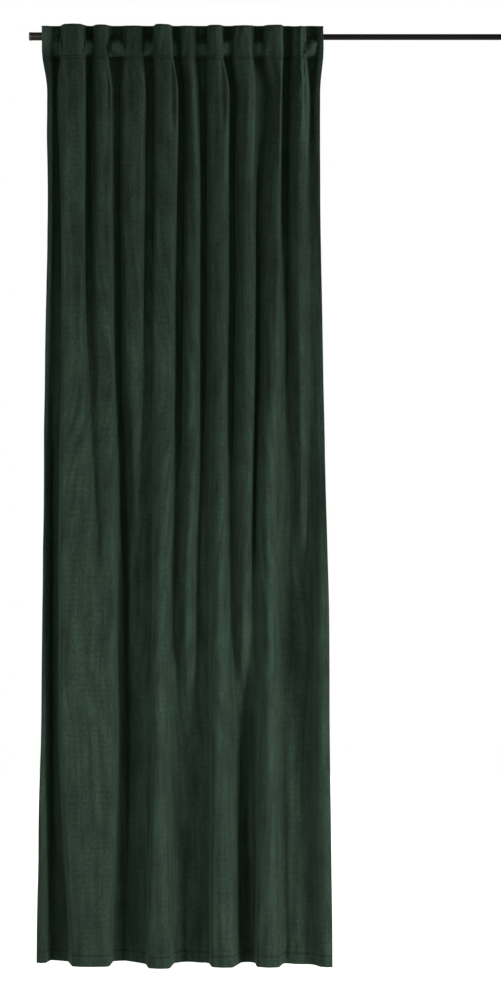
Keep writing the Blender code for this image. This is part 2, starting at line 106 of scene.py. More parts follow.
# Fold chart: the cloth seen from above at nine heights, in millimetres from the left edge of the
# heading. A row gives a fold's left shoulder, its crest, its right shoulder and both ends of the
# valley floor to its right, each with its reach, which runs from 0 at the back to 1 at the front.
TOP, HEADING, UPPER, HIGH, SHOULDER = 0.020, -0.036, -0.156, -0.437, -0.870
MIDDLE, LOW, LOWER, HEM = -1.186, -1.560, -1.908, -2.475
CHART = {
    TOP: {
        "left_edge":  ((3, .45), (17, .44), (29, .36), (38, .00), (51, .00)),
        "first":      ((63, .88), (90, 1.0), (108, .88), (124, .00), (138, .00)),
        "second":     ((147, .70), (160, .80), (174, .70), (188, .00), (213, .00)),
        "third":      ((228, .56), (246, .60), (264, .56), (276, .00), (299, .00)),
        "fourth":     ((308, .92), (320, 1.0), (342, .84), (352, .00), (367, .00)),
        "fifth":      ((374, .54), (388, .60), (403, .55), (414, .00), (442, .00)),
        "sixth":      ((449, .72), (463, .80), (478, .74), (488, .00), (506, .00)),
        "seventh":    ((519, .62), (540, .70), (560, .64), (571, .00), (591, .00)),
        "eighth":     ((604, .80), (622, .86), (640, .85), (646, .00), (661, .00)),
        "ninth":      ((672, .46), (686, .50), (700, .49), (710, .00), (732, .00)),
        "right_edge": ((741, .46), (747, .48), (752, .49)),
    },
    HEADING: {
        "left_edge":  ((3, .45), (16, .46), (28, .43), (36, .00), (51, .00)),
        "first":      ((59, .92), (90, 1.0), (114, .94), (122, .00), (137, .00)),
        "second":     ((147, .76), (160, .84), (173, .81), (180, .00), (216, .00)),
        "third":      ((226, .58), (247, .64), (267, .61), (274, .00), (298, .00)),
        "fourth":     ((308, .90), (326, .98), (346, .94), (352, .00), (366, .00)),
        "fifth":      ((374, .52), (390, .58), (406, .55), (413, .00), (441, .00)),
        "sixth":      ((449, .72), (464, .80), (479, .79), (486, .00), (506, .00)),
        "seventh":    ((513, .68), (537, .76), (560, .75), (567, .00), (590, .00)),
        "eighth":     ((598, .80), (620, .88), (641, .90), (646, .00), (663, .00)),
        "ninth":      ((670, .44), (685, .50), (701, .52), (709, .00), (732, .00)),
        "right_edge": ((740, .48), (746, .49), (753, .50)),
    },
    UPPER: {
        "left_edge":  ((18, .55), (24, .60), (31, .58), (35, .12), (41, .16)),
        "first":      ((53, .86), (85, .91), (117, .93), (121, .05), (131, .16)),
        "second":     ((148, .70), (166, .83), (187, .83), (191, .36), (211, .26)),
        "third":      ((219, .70), (248, .79), (275, .84), (281, .10), (302, .18)),
        "fourth":     ((309, .73), (337, .92), (363, .93), (367, .00), (382, .10)),
        "fifth":      ((389, .58), (403, .78), (412, .68), (424, .04), (441, .08)),
        "sixth":      ((447, .65), (473, .85), (498, .90), (504, .02), (517, .08)),
        "seventh":    ((523, .52), (552, .86), (567, .74), (583, .17), (596, .22)),
        "eighth":     ((606, .38), (625, .70), (639, .90), (644, .00), (661, .05)),
        "ninth":      ((667, .56), (690, .86), (709, .74), (717, .16), (725, .20)),
        "right_edge": ((730, .40), (737, .44), (744, .45)),
    },
    HIGH: {
        "left_edge":  ((18, .58), (23, .63), (28, .60), (34, .16), (53, .27)),
        "first":      ((59, .93), (82, .85), (114, .92), (121, .08), (132, .15)),
        "second":     ((147, .78), (167, .85), (186, .86), (191, .30), (211, .00)),
        "third":      ((221, .64), (246, .78), (269, .83), (280, .14), (303, .30)),
        "fourth":     ((307, .75), (332, .91), (357, .97), (364, .00), (382, .05)),
        "fifth":      ((390, .62), (408, .79), (419, .80), (426, .02), (442, .12)),
        "sixth":      ((448, .64), (472, .85), (494, .90), (504, .05), (518, .06)),
        "seventh":    ((524, .56), (546, .83), (563, .87), (575, .05), (582, .20)),
        "eighth":     ((594, .45), (616, .77), (634, .93), (640, .03), (659, .00)),
        "ninth":      ((664, .52), (687, .80), (700, .77), (709, .34), (714, .32)),
        "right_edge": ((733, .52), (739, .58), (744, .60)),
    },
    SHOULDER: {
        "left_edge":  ((12, .58), (16, .63), (21, .60), (28, .40), (54, .44)),
        "first":      ((59, .97), (84, .91), (110, .92), (124, .54), (138, .57)),
        "second":     ((151, .83), (170, .90), (191, .90), (196, .30), (213, .08)),
        "third":      ((225, .62), (243, .77), (262, .77), (274, .45), (299, .42)),
        "fourth":     ((302, .83), (325, .93), (348, .97), (359, .16), (376, .08)),
        "fifth":      ((384, .65), (402, .82), (418, .84), (427, .05), (438, .16)),
        "sixth":      ((453, .62), (473, .85), (490, .92), (500, .20), (516, .08)),
        "seventh":    ((523, .57), (545, .84), (563, .91), (572, .06), (579, .18)),
        "eighth":     ((590, .50), (611, .84), (629, .95), (641, .44), (657, .14)),
        "ninth":      ((674, .51), (689, .74), (700, .74), (711, .42), (717, .39)),
        "right_edge": ((737, .54), (745, .60), (752, .62)),
    },
    MIDDLE: {
        "left_edge":  ((11, .58), (15, .64), (20, .60), (26, .20), (50, .50)),
        "first":      ((59, 1.0), (89, .94), (126, .95), (138, .78), (147, .76)),
        "second":     ((158, .88), (178, .95), (195, .98), (203, .38), (212, .16)),
        "third":      ((236, .44), (249, .58), (258, .58), (272, .52), (299, .47)),
        "fourth":     ((302, .85), (322, .98), (343, .97), (356, .56), (373, .47)),
        "fifth":      ((382, .72), (396, .88), (411, .86), (426, .42), (437, .48)),
        "sixth":      ((453, .72), (473, .92), (489, .95), (498, .59), (512, .55)),
        "seventh":    ((521, .74), (541, .90), (559, .93), (568, .40), (573, .50)),
        "eighth":     ((579, .78), (598, .97), (616, .97), (628, .32), (662, .24)),
        "ninth":      ((686, .46), (695, .56), (703, .48), (712, .28), (722, .30)),
        "right_edge": ((743, .56), (751, .62), (757, .66)),
    },
    LOW: {
        "left_edge":  ((7, .66), (12, .70), (18, .66), (24, .24), (50, .56)),
        "first":      ((59, 1.0), (92, .98), (132, .98), (150, .96), (162, .96)),
        "second":     ((174, .97), (188, .99), (200, .98), (206, .36), (223, .28)),
        "third":      ((238, .48), (258, .52), (279, .55), (290, .57), (297, .60)),
        "fourth":     ((302, .92), (321, 1.0), (338, .93), (349, .62), (363, .58)),
        "fifth":      ((376, .76), (390, .86), (404, .82), (418, .58), (446, .56)),
        "sixth":      ((457, .88), (477, 1.0), (492, .94), (504, .64), (514, .61)),
        "seventh":    ((526, .76), (541, .86), (552, .82), (563, .70), (571, .67)),
        "eighth":     ((582, .82), (606, 1.0), (624, .94), (634, .32), (660, .26)),
        "ninth":      ((688, .30), (700, .32), (709, .34), (717, .40), (725, .52)),
        "right_edge": ((735, .80), (750, .86), (766, .84)),
    },
    LOWER: {
        "left_edge":  ((2, .72), (9, .76), (16, .70), (23, .20), (51, .52)),
        "first":      ((60, .98), (94, .98), (133, .98), (155, .98), (168, .98)),
        "second":     ((180, .99), (191, 1.0), (200, .96), (207, .26), (227, .10)),
        "third":      ((245, .40), (260, .52), (277, .58), (288, .62), (296, .68)),
        "fourth":     ((302, .94), (321, 1.0), (336, .90), (346, .36), (362, .29)),
        "fifth":      ((384, .28), (403, .28), (418, .31), (432, .38), (450, .50)),
        "sixth":      ((459, .90), (480, 1.0), (496, .93), (509, .62), (523, .39)),
        "seventh":    ((537, .29), (548, .20), (558, .14), (566, .25), (575, .50)),
        "eighth":     ((582, .82), (606, 1.0), (624, .92), (637, .32), (655, .33)),
        "ninth":      ((679, .36), (694, .37), (704, .35), (713, .40), (721, .52)),
        "right_edge": ((731, .80), (750, .90), (768, .88)),
    },
    HEM: {
        "left_edge":  ((-10, .58), (3, .64), (14, .62), (24, .02), (71, .26)),
        "first":      ((86, .90), (111, .98), (136, 1.0), (157, .99), (168, .97)),
        "second":     ((175, .96), (180, .94), (185, .90), (192, .16), (221, .06)),
        "third":      ((238, .20), (250, .34), (262, .44), (272, .52), (280, .58)),
        "fourth":     ((288, .90), (316, 1.0), (344, .93), (354, .25), (380, .02)),
        "fifth":      ((397, .07), (413, .15), (428, .25), (439, .34), (448, .44)),
        "sixth":      ((456, .88), (483, 1.0), (511, .96), (521, .50), (532, .03)),
        "seventh":    ((542, .00), (551, .00), (560, .00), (566, .02), (571, .08)),
        "eighth":     ((575, .84), (605, 1.0), (634, .93), (646, .37), (658, .37)),
        "ninth":      ((678, .42), (694, .45), (708, .43), (719, .46), (729, .55)),
        "right_edge": ((742, .80), (757, .92), (776, .90)),
    },
}
FOLD_NAMES = tuple(CHART[HEADING])
SECTION_HEIGHTS = tuple(CHART)

# How far below the finished drop the hem hangs, in millimetres: at each fold, and at the floor to its right
HEM_HANG = {"left_edge": (-6, -5), "first": (-1, -1), "second": (-1, -4), "third": (-4, -3), "fourth": (4, 0),
            "fifth": (-1, -3), "sixth": (1, 2), "seventh": (1, 2), "eighth": (1, -1), "ninth": (0, 0),
            "right_edge": (1, 0)}

# How far the top edge sags at each fold and in the recesses, in millimetres
TOP_SAG = {"left_edge": 1.6, "first": 0.6, "second": 1.0, "third": 2.4, "fourth": 1.3, "fifth": 2.7,
           "sixth": 1.9, "seventh": 2.3, "eighth": 2.4, "ninth": 3.1, "right_edge": 2.9}
RECESS_SAG = -1.9
SAG_FOOT = -0.012         # height at which the sag has faded out

# By section, from the top: radius of the bends, share of the hem's swing back and of its hang
BEND_RADIUS = (0.0032, 0.0030, 0.0034, 0.0042, 0.0048, 0.0056, 0.0064, 0.0068, 0.0048)
BACK_SWING = (0.00, 0.00, 0.02, 0.20, 0.46, 0.65, 0.82, 0.91, 1.00)
HANG_SHARE = (0.00, 0.00, 0.00, 0.00, 0.00, 0.00, 0.00, 0.10, 1.00)

# How far the cloth and its tape bulge forward in each recess of the heading, from left to right.
# A bulge starts below the straps' top ends and finishes above their lower ends
BULGES = (0.042, 0.039, 0.043, 0.040, 0.016, 0.031, 0.037, 0.039, 0.002, 0.034)
BULGE_LEANS = (0.6, -0.7, 1.0, -0.5, 0.0, 0.8, -1.0, 0.7, 0.0, -1.0)   # to the left, going up
BULGE_SLANT = 0.10 / 0.03   # a full lean, in shares of the recess's width for each metre of height
BULGE_TOP = 0.0060
BULGE_FULL = (-0.026, -0.052)
BULGE_FOOT = -0.0652
BULGE_TOP_STRAY = (0.0030, 0.019, 51)    # how far a bulge's top strays, over what width, and a seed
BULGE_FOOT_STRAY = (0.0016, 0.026, 52)

# Creases of the cloth. Each has both ends, in millimetres from the left edge of the heading and
# below the rod's axis, its rise, which is below 0 in a trough, and its half width in millimetres
CREASES = (
    # heading, from left to right
    ((38, -8), (28, 60), -6.0, 3.2),
    ((45, -6), (36, 50), 2.0, 3.5),
    ((72, -14), (67, 50), -1.2, 4.5),
    ((95, -10), (101, 54), 1.2, 6.0),
    ((100, -12), (109, 30), 2.4, 3.4),
    ((120, -18), (113, 58), -4.6, 3.0),
    ((149, 38), (175, 43), 1.4, 3.0),
    ((150, 50), (174, 55), 1.5, 2.6),
    ((170, -20), (174, 6), -2.4, 2.6),
    ((186, 2), (180, 46), -3.5, 4.0),
    ((190, -18), (182, 8), -3.4, 2.8),
    ((198, -19), (196, 8), -3.0, 2.6),
    ((204, 0), (190, 48), 7.0, 6.5),
    ((206, -18), (212, 8), -3.4, 2.8),
    ((237, -12), (244, 50), -1.2, 5.0),
    ((259, -20), (269, 10), 2.2, 3.2),
    ((272, -12), (271, 52), -3.5, 3.5),
    ((286, -18), (280, 4), -1.6, 2.4),
    ((330, -16), (322, 52), -1.6, 4.5),
    ((392, -14), (386, 54), -1.6, 4.0),
    ((416, -18), (410, 8), -3.4, 2.6),
    ((421, 10), (419, 50), -2.5, 5.0),
    ((424, -19), (421, 8), -3.0, 2.4),
    ((431, 4), (440, 52), 3.5, 5.5),
    ((432, -19), (434, 8), -3.0, 2.4),
    ((440, -18), (445, 6), -3.0, 2.4),
    ((460, -18), (464, 54), -1.4, 3.5),
    ((492, -16), (495, 52), 1.6, 4.0),
    ((505, 8), (502, 58), -5.0, 3.6),
    ((527, -16), (520, 40), -1.8, 4.5),
    ((580, -16), (583, 4), -1.6, 2.4),
    ((588, -6), (586, 52), -5.0, 3.6),
    ((606, -20), (596, 30), -1.8, 4.0),
    ((692, -24), (693, 46), 8.5, 3.6),
    ((706, 8), (703, 44), 2.5, 3.4),
    ((712, -18), (707, 4), -2.0, 2.4),
    ((712, 12), (709, 48), -3.0, 3.6),
    ((722, -19), (721, 4), -1.8, 2.2),
    ((735, 14), (718, 48), 2.2, 6.0),
    # below the tape, where gathers run out into the folds
    ((76, 66), (70, 240), -1.4, 7.0),
    ((99, 62), (104, 260), 1.2, 7.0),
    ((146, 64), (152, 250), 1.4, 5.0),
    ((181, 60), (182, 210), -5.5, 4.5),
    ((190, 58), (189, 175), 3.5, 3.8),
    ((219, 66), (221, 190), 1.8, 3.5),
    ((233, 66), (239, 215), -3.0, 6.5),
    ((262, 62), (264, 300), 1.2, 6.0),
    ((351, 60), (354, 255), -5.0, 5.0),
    ((362, 64), (364, 245), 2.0, 3.4),
    ((483, 60), (487, 240), -6.5, 5.5),
    ((493, 60), (500, 195), 2.6, 3.6),
    ((557, 58), (557, 200), 3.5, 8.0),
    ((618, 40), (622, 150), -2.0, 6.0),
    ((692, 56), (693, 240), 8.5, 4.2),
    ((702, 60), (703, 225), -4.5, 4.0),
    # long soft creases, further and further down
    ((169, 330), (173, 620), -1.6, 7.0),
    ((74, 380), (82, 700), -2.0, 9.0),
    ((318, 420), (322, 720), -1.6, 7.0),
    ((470, 480), (466, 740), -1.5, 6.0),
    ((96, 1140), (104, 1330), 1.6, 6.0),
    ((150, 1180), (160, 1420), -1.8, 8.0),
    ((742, 1440), (752, 1372), 1.4, 5.0),
    ((748, 1413), (735, 1485), -3.0, 5.0),
    ((330, 1560), (322, 1720), -1.6, 7.0),
    ((364, 1600), (366, 1790), -2.5, 7.0),
    ((391, 1600), (394, 1800), 4.0, 8.0),
    ((516, 1600), (516, 1790), -3.0, 7.0),
    ((540, 1620), (534, 1780), 2.5, 8.0),
    ((612, 1640), (604, 1800), -1.8, 7.0),
    ((262, 1650), (276, 1800), 1.6, 7.0),
    ((478, 1700), (470, 1880), 1.4, 6.0),
    ((643, 1900), (651, 2430), -3.0, 6.0),
    ((400, 1950), (424, 2100), -1.8, 9.0),
    ((118, 1960), (110, 2160), -1.6, 9.0),
    # gathers above the hem, in the valleys, from left to right
    ((30, 2372), (24, 2462), -3.0, 4.0),
    ((44, 2392), (38, 2462), -4.5, 4.0),
    ((56, 2380), (53, 2460), 3.6, 4.5),
    ((68, 2396), (66, 2462), -4.0, 4.0),
    ((190, 2400), (200, 2462), -3.5, 4.5),
    ((216, 2388), (226, 2462), -3.6, 4.5),
    ((245, 2384), (256, 2462), -4.6, 4.5),
    ((258, 2376), (270, 2458), 3.8, 5.0),
    ((272, 2390), (283, 2462), -4.2, 4.0),
    ((362, 2394), (356, 2462), -3.6, 4.0),
    ((378, 2384), (372, 2462), -4.2, 4.5),
    ((404, 2370), (403, 2460), 3.6, 5.0),
    ((424, 2386), (432, 2462), -4.4, 4.5),
    ((440, 2392), (450, 2462), 3.4, 4.0),
    ((543, 2384), (540, 2462), -3.4, 4.0),
    ((655, 2418), (648, 2462), -2.4, 4.0),
    ((668, 2412), (662, 2462), 2.6, 4.5),
    ((680, 2420), (677, 2462), -2.2, 4.0),
    ((700, 2392), (696, 2462), 3.4, 5.0),
    ((724, 2380), (728, 2462), -3.6, 5.0),
    ((744, 2360), (752, 2440), 2.6, 6.0),
)

# Unevenness of the cloth: how far it goes, how long its patches are across and down, and a seed
WANDER = (0.0016, (0.085, 0.230), 11)
LONG_ROLLS = (0.0012, (0.034, 0.150), 31)
FINE_ROLLS = (0.0006, (0.015, 0.060), 32)
HEADING_ROLLS = (0.0009, (0.010, 0.026), 33)
ROW_PUCKERS = (1.0, (0.0085, 0.016), 21)
HEM_PATCHES = (1.0, (0.070, 0.5), 22)
SIDE_PUCKERS = (1.0, (0.012, 0.021), 23)
TAPE_GATHERS = (0.00015, (0.0040, 0.030), 41)

# Puckers along the stitches: how far they rise, and how far from the stitches they fade
TAPE_PUCKER = (0.0010, 0.014)
TOP_PUCKER = (0.0007, 0.010)
HEM_PUCKER = (0.0013, 0.015)
SIDE_PUCKER = (0.0009, 0.011)
HOLD_FADE = 0.006         # how far around a strap's ends the cloth is kept flat
HOLD_TOP_FADE = 0.005     # the same below its upper bend

# Spacing of the cloth's mesh
LAYOUT_POINTS = 1401      # points along a section while its depth is worked out
DEEPEST_FOLD = 0.3        # the depth is searched for below this
DEPTH_HALVINGS = 24
PANEL_STEP = 0.0037       # between columns across a fold's front
WALL_COLUMNS = 7
FLOOR_COLUMNS = 3
TURN_COLUMNS = 10         # between a side hem and the first valley
SIDE_COLUMNS = (0.0, 0.0003, 0.0009, 0.0018, 0.0050, 0.0090, 0.0110, 0.0118, 0.0125, 0.0132, 0.0142,
                0.0150, 0.0162)
WIDEST_ROWS = ((0.075, 0.0048), (0.26, 0.014), (0.45, 0.040), (2.36, 0.040), (2.42, 0.0070))
CLOSEST_ROWS = 0.0008     # at a detail
ROW_GROWTH = 0.36         # of the distance from it, added to that
ROW_GAP = 0.0003          # left between the tape's own edges and the rows next to them

# Columns of a strap, in halves of its width, and the share of its thickness there
STRAP_COLUMNS = np.array([-1.0, -0.97, -0.9, -0.5, 0.0, 0.5, 0.9, 0.97, 1.0])
STRAP_EDGES = np.array([0.35, 0.75, 1.0, 1.0, 1.0, 1.0, 1.0, 0.75, 0.35])
STRAP_ROWS = 110
STRAP_TURN_POINTS = 40    # around the rod

# Studio: each spotlight's place, target, radius, power in watts and cone in degrees
SPOTLIGHTS = {
    "key_light": ((3.0, -3.1, -2.5), (0.0, 0.0, -1.95), 0.7, 2500.0, 52.0),
    "left_light": ((-3.0, -6.2, -2.9), (0.75, 0.0, -2.15), 0.6, 8000.0, 26.0),
    "side_light": ((1.05, -0.42, -0.02), (0.05, 0.0, -0.10), 0.12, 72.0, 38.0),
    "rod_light": ((-0.64, -6.0, -0.75), (-0.634, 0.0, 0.0), 0.03, 4200.0, 0.6),
}
BOARD_SIZE = (2.3, 1.2)
BOARD_PLACE = (0.0, -0.30, 0.34)
FLOOR_RADIUS = 7.0
FLOOR_SIDES = 64
FLOOR_GAP = 0.06          # below the lowest point of the cloth
CAMERA_PLACE = (-0.0582, -9.0, -1.2393)
CAMERA_LENS = 121.2       # millimetres, on a sensor 36 wide

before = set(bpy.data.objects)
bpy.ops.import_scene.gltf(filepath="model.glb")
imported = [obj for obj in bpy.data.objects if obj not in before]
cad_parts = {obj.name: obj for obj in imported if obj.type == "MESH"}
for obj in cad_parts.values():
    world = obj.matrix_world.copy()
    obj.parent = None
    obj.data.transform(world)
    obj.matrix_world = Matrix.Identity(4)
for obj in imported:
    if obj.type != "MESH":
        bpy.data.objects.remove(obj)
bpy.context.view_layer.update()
cloth_low, cloth_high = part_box("curtain_panel")
rod_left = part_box("rod_plug_left")[0].x
outer_low, outer_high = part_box("rod_outer_tube")
ROD_RADIUS = (outer_high.z - outer_low.z) / 2
TOP_RISE = cloth_high.z
CLOTH_BOTTOM = TOP_RISE - DROP


# Smooth shapes

def bump(distance, width):
    """A soft bump, 1 at no distance and fading over the width."""
    return np.exp(-(distance / width) ** 2)


def smooth_step(value, low, high):
    """0 below low, 1 above high and a smooth rise between them."""
    t = np.clip((value - low) / (high - low), 0.0, 1.0)
    return t * t * (3 - 2 * t)


def uneven(across, down, layer):
    """Smooth unevenness over the flat cloth, from a layer's seeded lattice."""
    size, cell, seed = layer
    rows, columns = int(DROP / cell[1]) + 4, int(CUT_WIDTH / cell[0]) + 4
    lattice = np.random.default_rng(seed).uniform(-1.0, 1.0, (rows, columns))
    v, u = np.clip(down, 0.0, DROP) / cell[1] + 1, np.clip(across, 0.0, CUT_WIDTH) / cell[0] + 1
    i, j = v.astype(int), u.astype(int)
    s, t = smooth_step(v - i, 0.0, 1.0), smooth_step(u - j, 0.0, 1.0)
    upper = lattice[i, j] * (1 - t) + lattice[i, j + 1] * t
    lower = lattice[i + 1, j] * (1 - t) + lattice[i + 1, j + 1] * t
    return size * (upper * (1 - s) + lower * s)


def stray(across, layer):
    """How far an edge strays along the cloth's width, from 0 to twice the layer's size."""
    size, width, seed = layer
    place = across / width
    values = np.random.default_rng(seed).uniform(-1.0, 1.0, int(place.max()) + 2)
    i = place.astype(int)
    t = smooth_step(place - i, 0.0, 1.0)
    return size * (1 + values[i] * (1 - t) + values[i + 1] * t)


def distances_along(line):
    """How far along a line each of its points is, by their first two coordinates."""
    return np.concatenate([[0.0], np.cumsum(np.hypot(*np.diff(line[:, :2], axis=0).T))])


def read_line(line, along, places):
    """A line's points at some places, given how far along it its own points are."""
    return np.column_stack([np.interp(places, along, values) for values in line.T])


def soften(points, radius):
    """Round the bends of a line of evenly spaced points, keeping its two ends."""
    step = np.hypot(*(points[1] - points[0])[:2])
    reach = int(math.ceil(3 * radius / step))
    weights = np.exp(-0.5 * (np.arange(-reach, reach + 1) * step / radius) ** 2)
    weights /= weights.sum()
    before = 2 * points[0] - points[reach:0:-1]
    after = 2 * points[-1] - points[-2:-reach - 2:-1]
    padded = np.vstack([before, points, after])
    return np.column_stack([np.convolve(values, weights, mode="valid") for values in padded.T])


# Folds of the cloth

def at_height(z, values):
    """Read values by section at height z, on a curve through them that never overshoots."""
    heights = -np.array(SECTION_HEIGHTS)
    values = np.array(values, dtype=float)
    down = min(max(-z, heights[0]), heights[-1])
    steps = np.diff(heights)
    slopes = np.diff(values) / steps
    tangents = np.zeros(len(values))
    for i in range(1, len(values) - 1):
        if slopes[i - 1] * slopes[i] > 0:
            tangents[i] = 2 * slopes[i - 1] * slopes[i] / (slopes[i - 1] + slopes[i])
    i = min(int(np.searchsorted(heights, down, side="right")) - 1, len(steps) - 1)
    t = (down - heights[i]) / steps[i]
    flat = values[i] * (1 + 2 * t) * (1 - t) ** 2 + values[i + 1] * t * t * (3 - 2 * t)
    turn = tangents[i] * t * (1 - t) ** 2 - tangents[i + 1] * t * t * (1 - t)
    return float(flat + steps[i] * turn)


def corners_at(z):
    """Corners of the section at height z: place along the heading, reach, hem hang and top sag."""
    corners = []
    for name in FOLD_NAMES:
        sections = [CHART[height][name] for height in SECTION_HEIGHTS]
        for i, points in enumerate(zip(*sections)):
            along, reach = [at_height(z, values) for values in zip(*points)]
            on_fold = i < 3
            hang = HEM_HANG[name][0 if on_fold else 1]
            corners.append((along, reach, hang, TOP_SAG[name] if on_fold else RECESS_SAG))
    return np.array(corners)


def back_of_folds(z):
    """Where the middle of the cloth's thickness lies at the back of its folds."""
    behind_cloth = ROD_RADIUS + TAPE_CLEARANCE + TAPE_THICKNESS + TAPE_GAP
    return HEM_SWING * at_height(z, BACK_SWING) - behind_cloth - CLOTH_THICKNESS / 2


def section(z):
    """The cloth's middle line at height z, folded just deep enough to use up the cut width.

    Each point also has the hem's hang and the top edge's sag there. The second result says
    where the section's corners are, as shares of the cut width.
    """
    corners = corners_at(z)
    x = rod_left + CLOTH_START + corners[:, 0] / 1000
    shallow, deep = 0.0, DEEPEST_FOLD
    for _ in range(DEPTH_HALVINGS):
        depth = (shallow + deep) / 2
        line = np.column_stack([x, back_of_folds(z) - depth * corners[:, 1], corners[:, 2:] / 1000])
        along = distances_along(line)
        points = read_line(line, along, np.linspace(0.0, along[-1], LAYOUT_POINTS))
        points = soften(points, at_height(z, BEND_RADIUS))
        if distances_along(points)[-1] < CUT_WIDTH:
            shallow = depth
        else:
            deep = depth
    return points, along / along[-1]


def bulge(z, places, shares):
    """How far the cloth bulges forward at height z, at these shares of its cut width."""
    across = places * CUT_WIDTH
    window = smooth_step(z + stray(across, BULGE_TOP_STRAY), BULGE_TOP, BULGE_FULL[0])
    window *= 1 - smooth_step(z - stray(across, BULGE_FOOT_STRAY), BULGE_FULL[1], BULGE_FOOT)
    forward = np.zeros(len(places))
    for fold, (size, lean) in enumerate(zip(BULGES, BULGE_LEANS)):
        first, last = shares[5 * fold + 2], shares[5 * fold + 5]
        shift = BULGE_SLANT * lean * (z - BULGE_FULL[0])
        place = np.clip((places - first) / (last - first) + shift, 0.0, 1.0)
        forward += size * window * np.sin(math.pi * place) ** 2
    return forward


def wander(across, down):
    """How far the folds stray sideways on their way down."""
    fade = smooth_step(down, 0.12, 0.40) * (1 - 0.6 * smooth_step(down, 2.2, DROP))
    return fade * uneven(across, down, WANDER)


def crease_lift(x, below, facing):
    """How far the creases lift the cloth towards the front. x and below are in millimetres."""
    lift = np.zeros_like(x)
    for (x0, below0), (x1, below1), rise, half_width in CREASES:
        run, fall = x1 - x0, below1 - below0
        length = math.hypot(run, fall)
        along = ((x - x0) * run + (below - below0) * fall) / length ** 2
        offset = ((x - x0) * fall - (below - below0) * run) / length
        ends = smooth_step(along, -0.20, 0.18) * (1 - smooth_step(along, 0.78, 1.20))
        lift += rise / 1000 * ends * bump(offset, half_width)
    return lift * facing


def row_pucker(distance, size):
    """Share of a pucker at this distance from its stitches, times its rise."""
    rise, width = size
    return rise * bump(distance, width)


def pucker_lift(across, down):
    """Small puckers along the stitched rows and the edges."""
    side = np.minimum(across, CUT_WIDTH - across)
    short = uneven(across, down, ROW_PUCKERS)
    patches = smooth_step(uneven(across, down, HEM_PATCHES), -0.4, 0.5)
    upright = uneven(across, down, SIDE_PUCKERS)
    lift = row_pucker(down - sum(TAPE_STITCHES) / 2, TAPE_PUCKER) + row_pucker(down - TOP_STITCH, TOP_PUCKER)
    lift += row_pucker(DROP - down - HEM_STITCH, HEM_PUCKER) * patches
    return lift * short + row_pucker(side - SIDE_STITCH, SIDE_PUCKER) * upright


def soft_lift(across, down, facing):
    """Long soft unevenness of the hanging cloth, and shorter unevenness in its heading."""
    hanging = smooth_step(down, 0.02, 0.15)
    rolls = uneven(across, down, LONG_ROLLS) + uneven(across, down, FINE_ROLLS)
    return (rolls * hanging + uneven(across, down, HEADING_ROLLS) * (1 - hanging)) * facing


def recess_centres():
    """Where the ten recesses of the heading are along the rod, each to the right of a fold."""
    rows = [CHART[HEADING][name] for name in FOLD_NAMES[:-1]]
    return [rod_left + CLOTH_START + (row[3][0] + row[4][0]) / 2000 for row in rows]


def held_by_straps(x, z):
    """From 0 to 1, how firmly the ends of the straps hold the cloth."""
    ends = smooth_step(z, STRAP_TURN - HOLD_TOP_FADE, STRAP_TURN)
    above_foot = smooth_step(z, STRAP_END - HOLD_FADE, STRAP_END)
    ends = ends + above_foot * (1 - smooth_step(z, STRAP_RETURN, STRAP_RETURN + HOLD_FADE))
    nearest = np.min([np.abs(x - centre) for centre in recess_centres()], axis=0)
    return ends * (1 - smooth_step(nearest, STRAP_WIDTH / 2, STRAP_WIDTH / 2 + HOLD_FADE))


# Mesh of the cloth

def add_piece(name, data):
    """A new object in the scene."""
    piece = bpy.data.objects.new(name, data)
    bpy.context.scene.collection.objects.link(piece)
    return piece


def row_heights():
    """Heights of the mesh's rows, from the top edge down, close together where the cloth has detail."""
    stitched = [TOP_RISE - below for below in STITCHED_ROWS]
    details = [*stitched, TOP_RISE, CLOTH_BOTTOM, CLOTH_BOTTOM + HEM_HEIGHT]
    places, spacings = zip(*WIDEST_ROWS)
    heights = [TOP_RISE]
    while heights[-1] > CLOTH_BOTTOM + CLOSEST_ROWS / 2:
        z = heights[-1]
        nearest = min(abs(z - detail) for detail in details)
        widest = float(np.interp(-z, places, spacings))
        heights.append(z - min(widest, CLOSEST_ROWS + ROW_GROWTH * nearest))
    heights[-1] = CLOTH_BOTTOM
    return heights


def clustered(count):
    """Shares of a span, closer together towards both of its ends, without the first."""
    return [0.5 - 0.5 * math.cos(math.pi * (i + 1) / count) for i in range(count)]


def span_counts():
    """The kind and the number of columns of each span between two corners, except at the side edges."""
    widths = np.max([np.diff(section(z)[1]) for z in SECTION_HEIGHTS], axis=0) * CUT_WIDTH
    kinds = ["wall", "floor", "wall"] + ["panel", "panel", "wall", "floor", "wall"] * (len(FOLD_NAMES) - 2)
    fixed = {"wall": WALL_COLUMNS, "floor": FLOOR_COLUMNS}
    spans = zip(kinds, widths[2:-2])
    return kinds, [fixed.get(kind) or max(3, round(width / PANEL_STEP)) for kind, width in spans]


def column_shares(shares, kinds, counts):
    """Shares of the cut width where the mesh has its columns, in step with the folds' corners."""
    side = np.array(SIDE_COLUMNS) / CUT_WIDTH
    turn = np.linspace(0.0, 1.0, TURN_COLUMNS + 1)[1:]
    columns = [*side, *(side[-1] + (shares[2] - side[-1]) * turn)]
    for first, last, kind, count in zip(shares[2:], shares[3:-2], kinds, counts):
        steps = clustered(count) if kind == "wall" else np.linspace(0.0, 1.0, count + 1)[1:]
        columns += [first + (last - first) * step for step in steps]
    last = columns[-1]
    end = 1 - side[-1]
    columns += [last + (end - last) * step for step in turn]
    columns += list(1 - side[-2::-1])
    return np.array(columns)


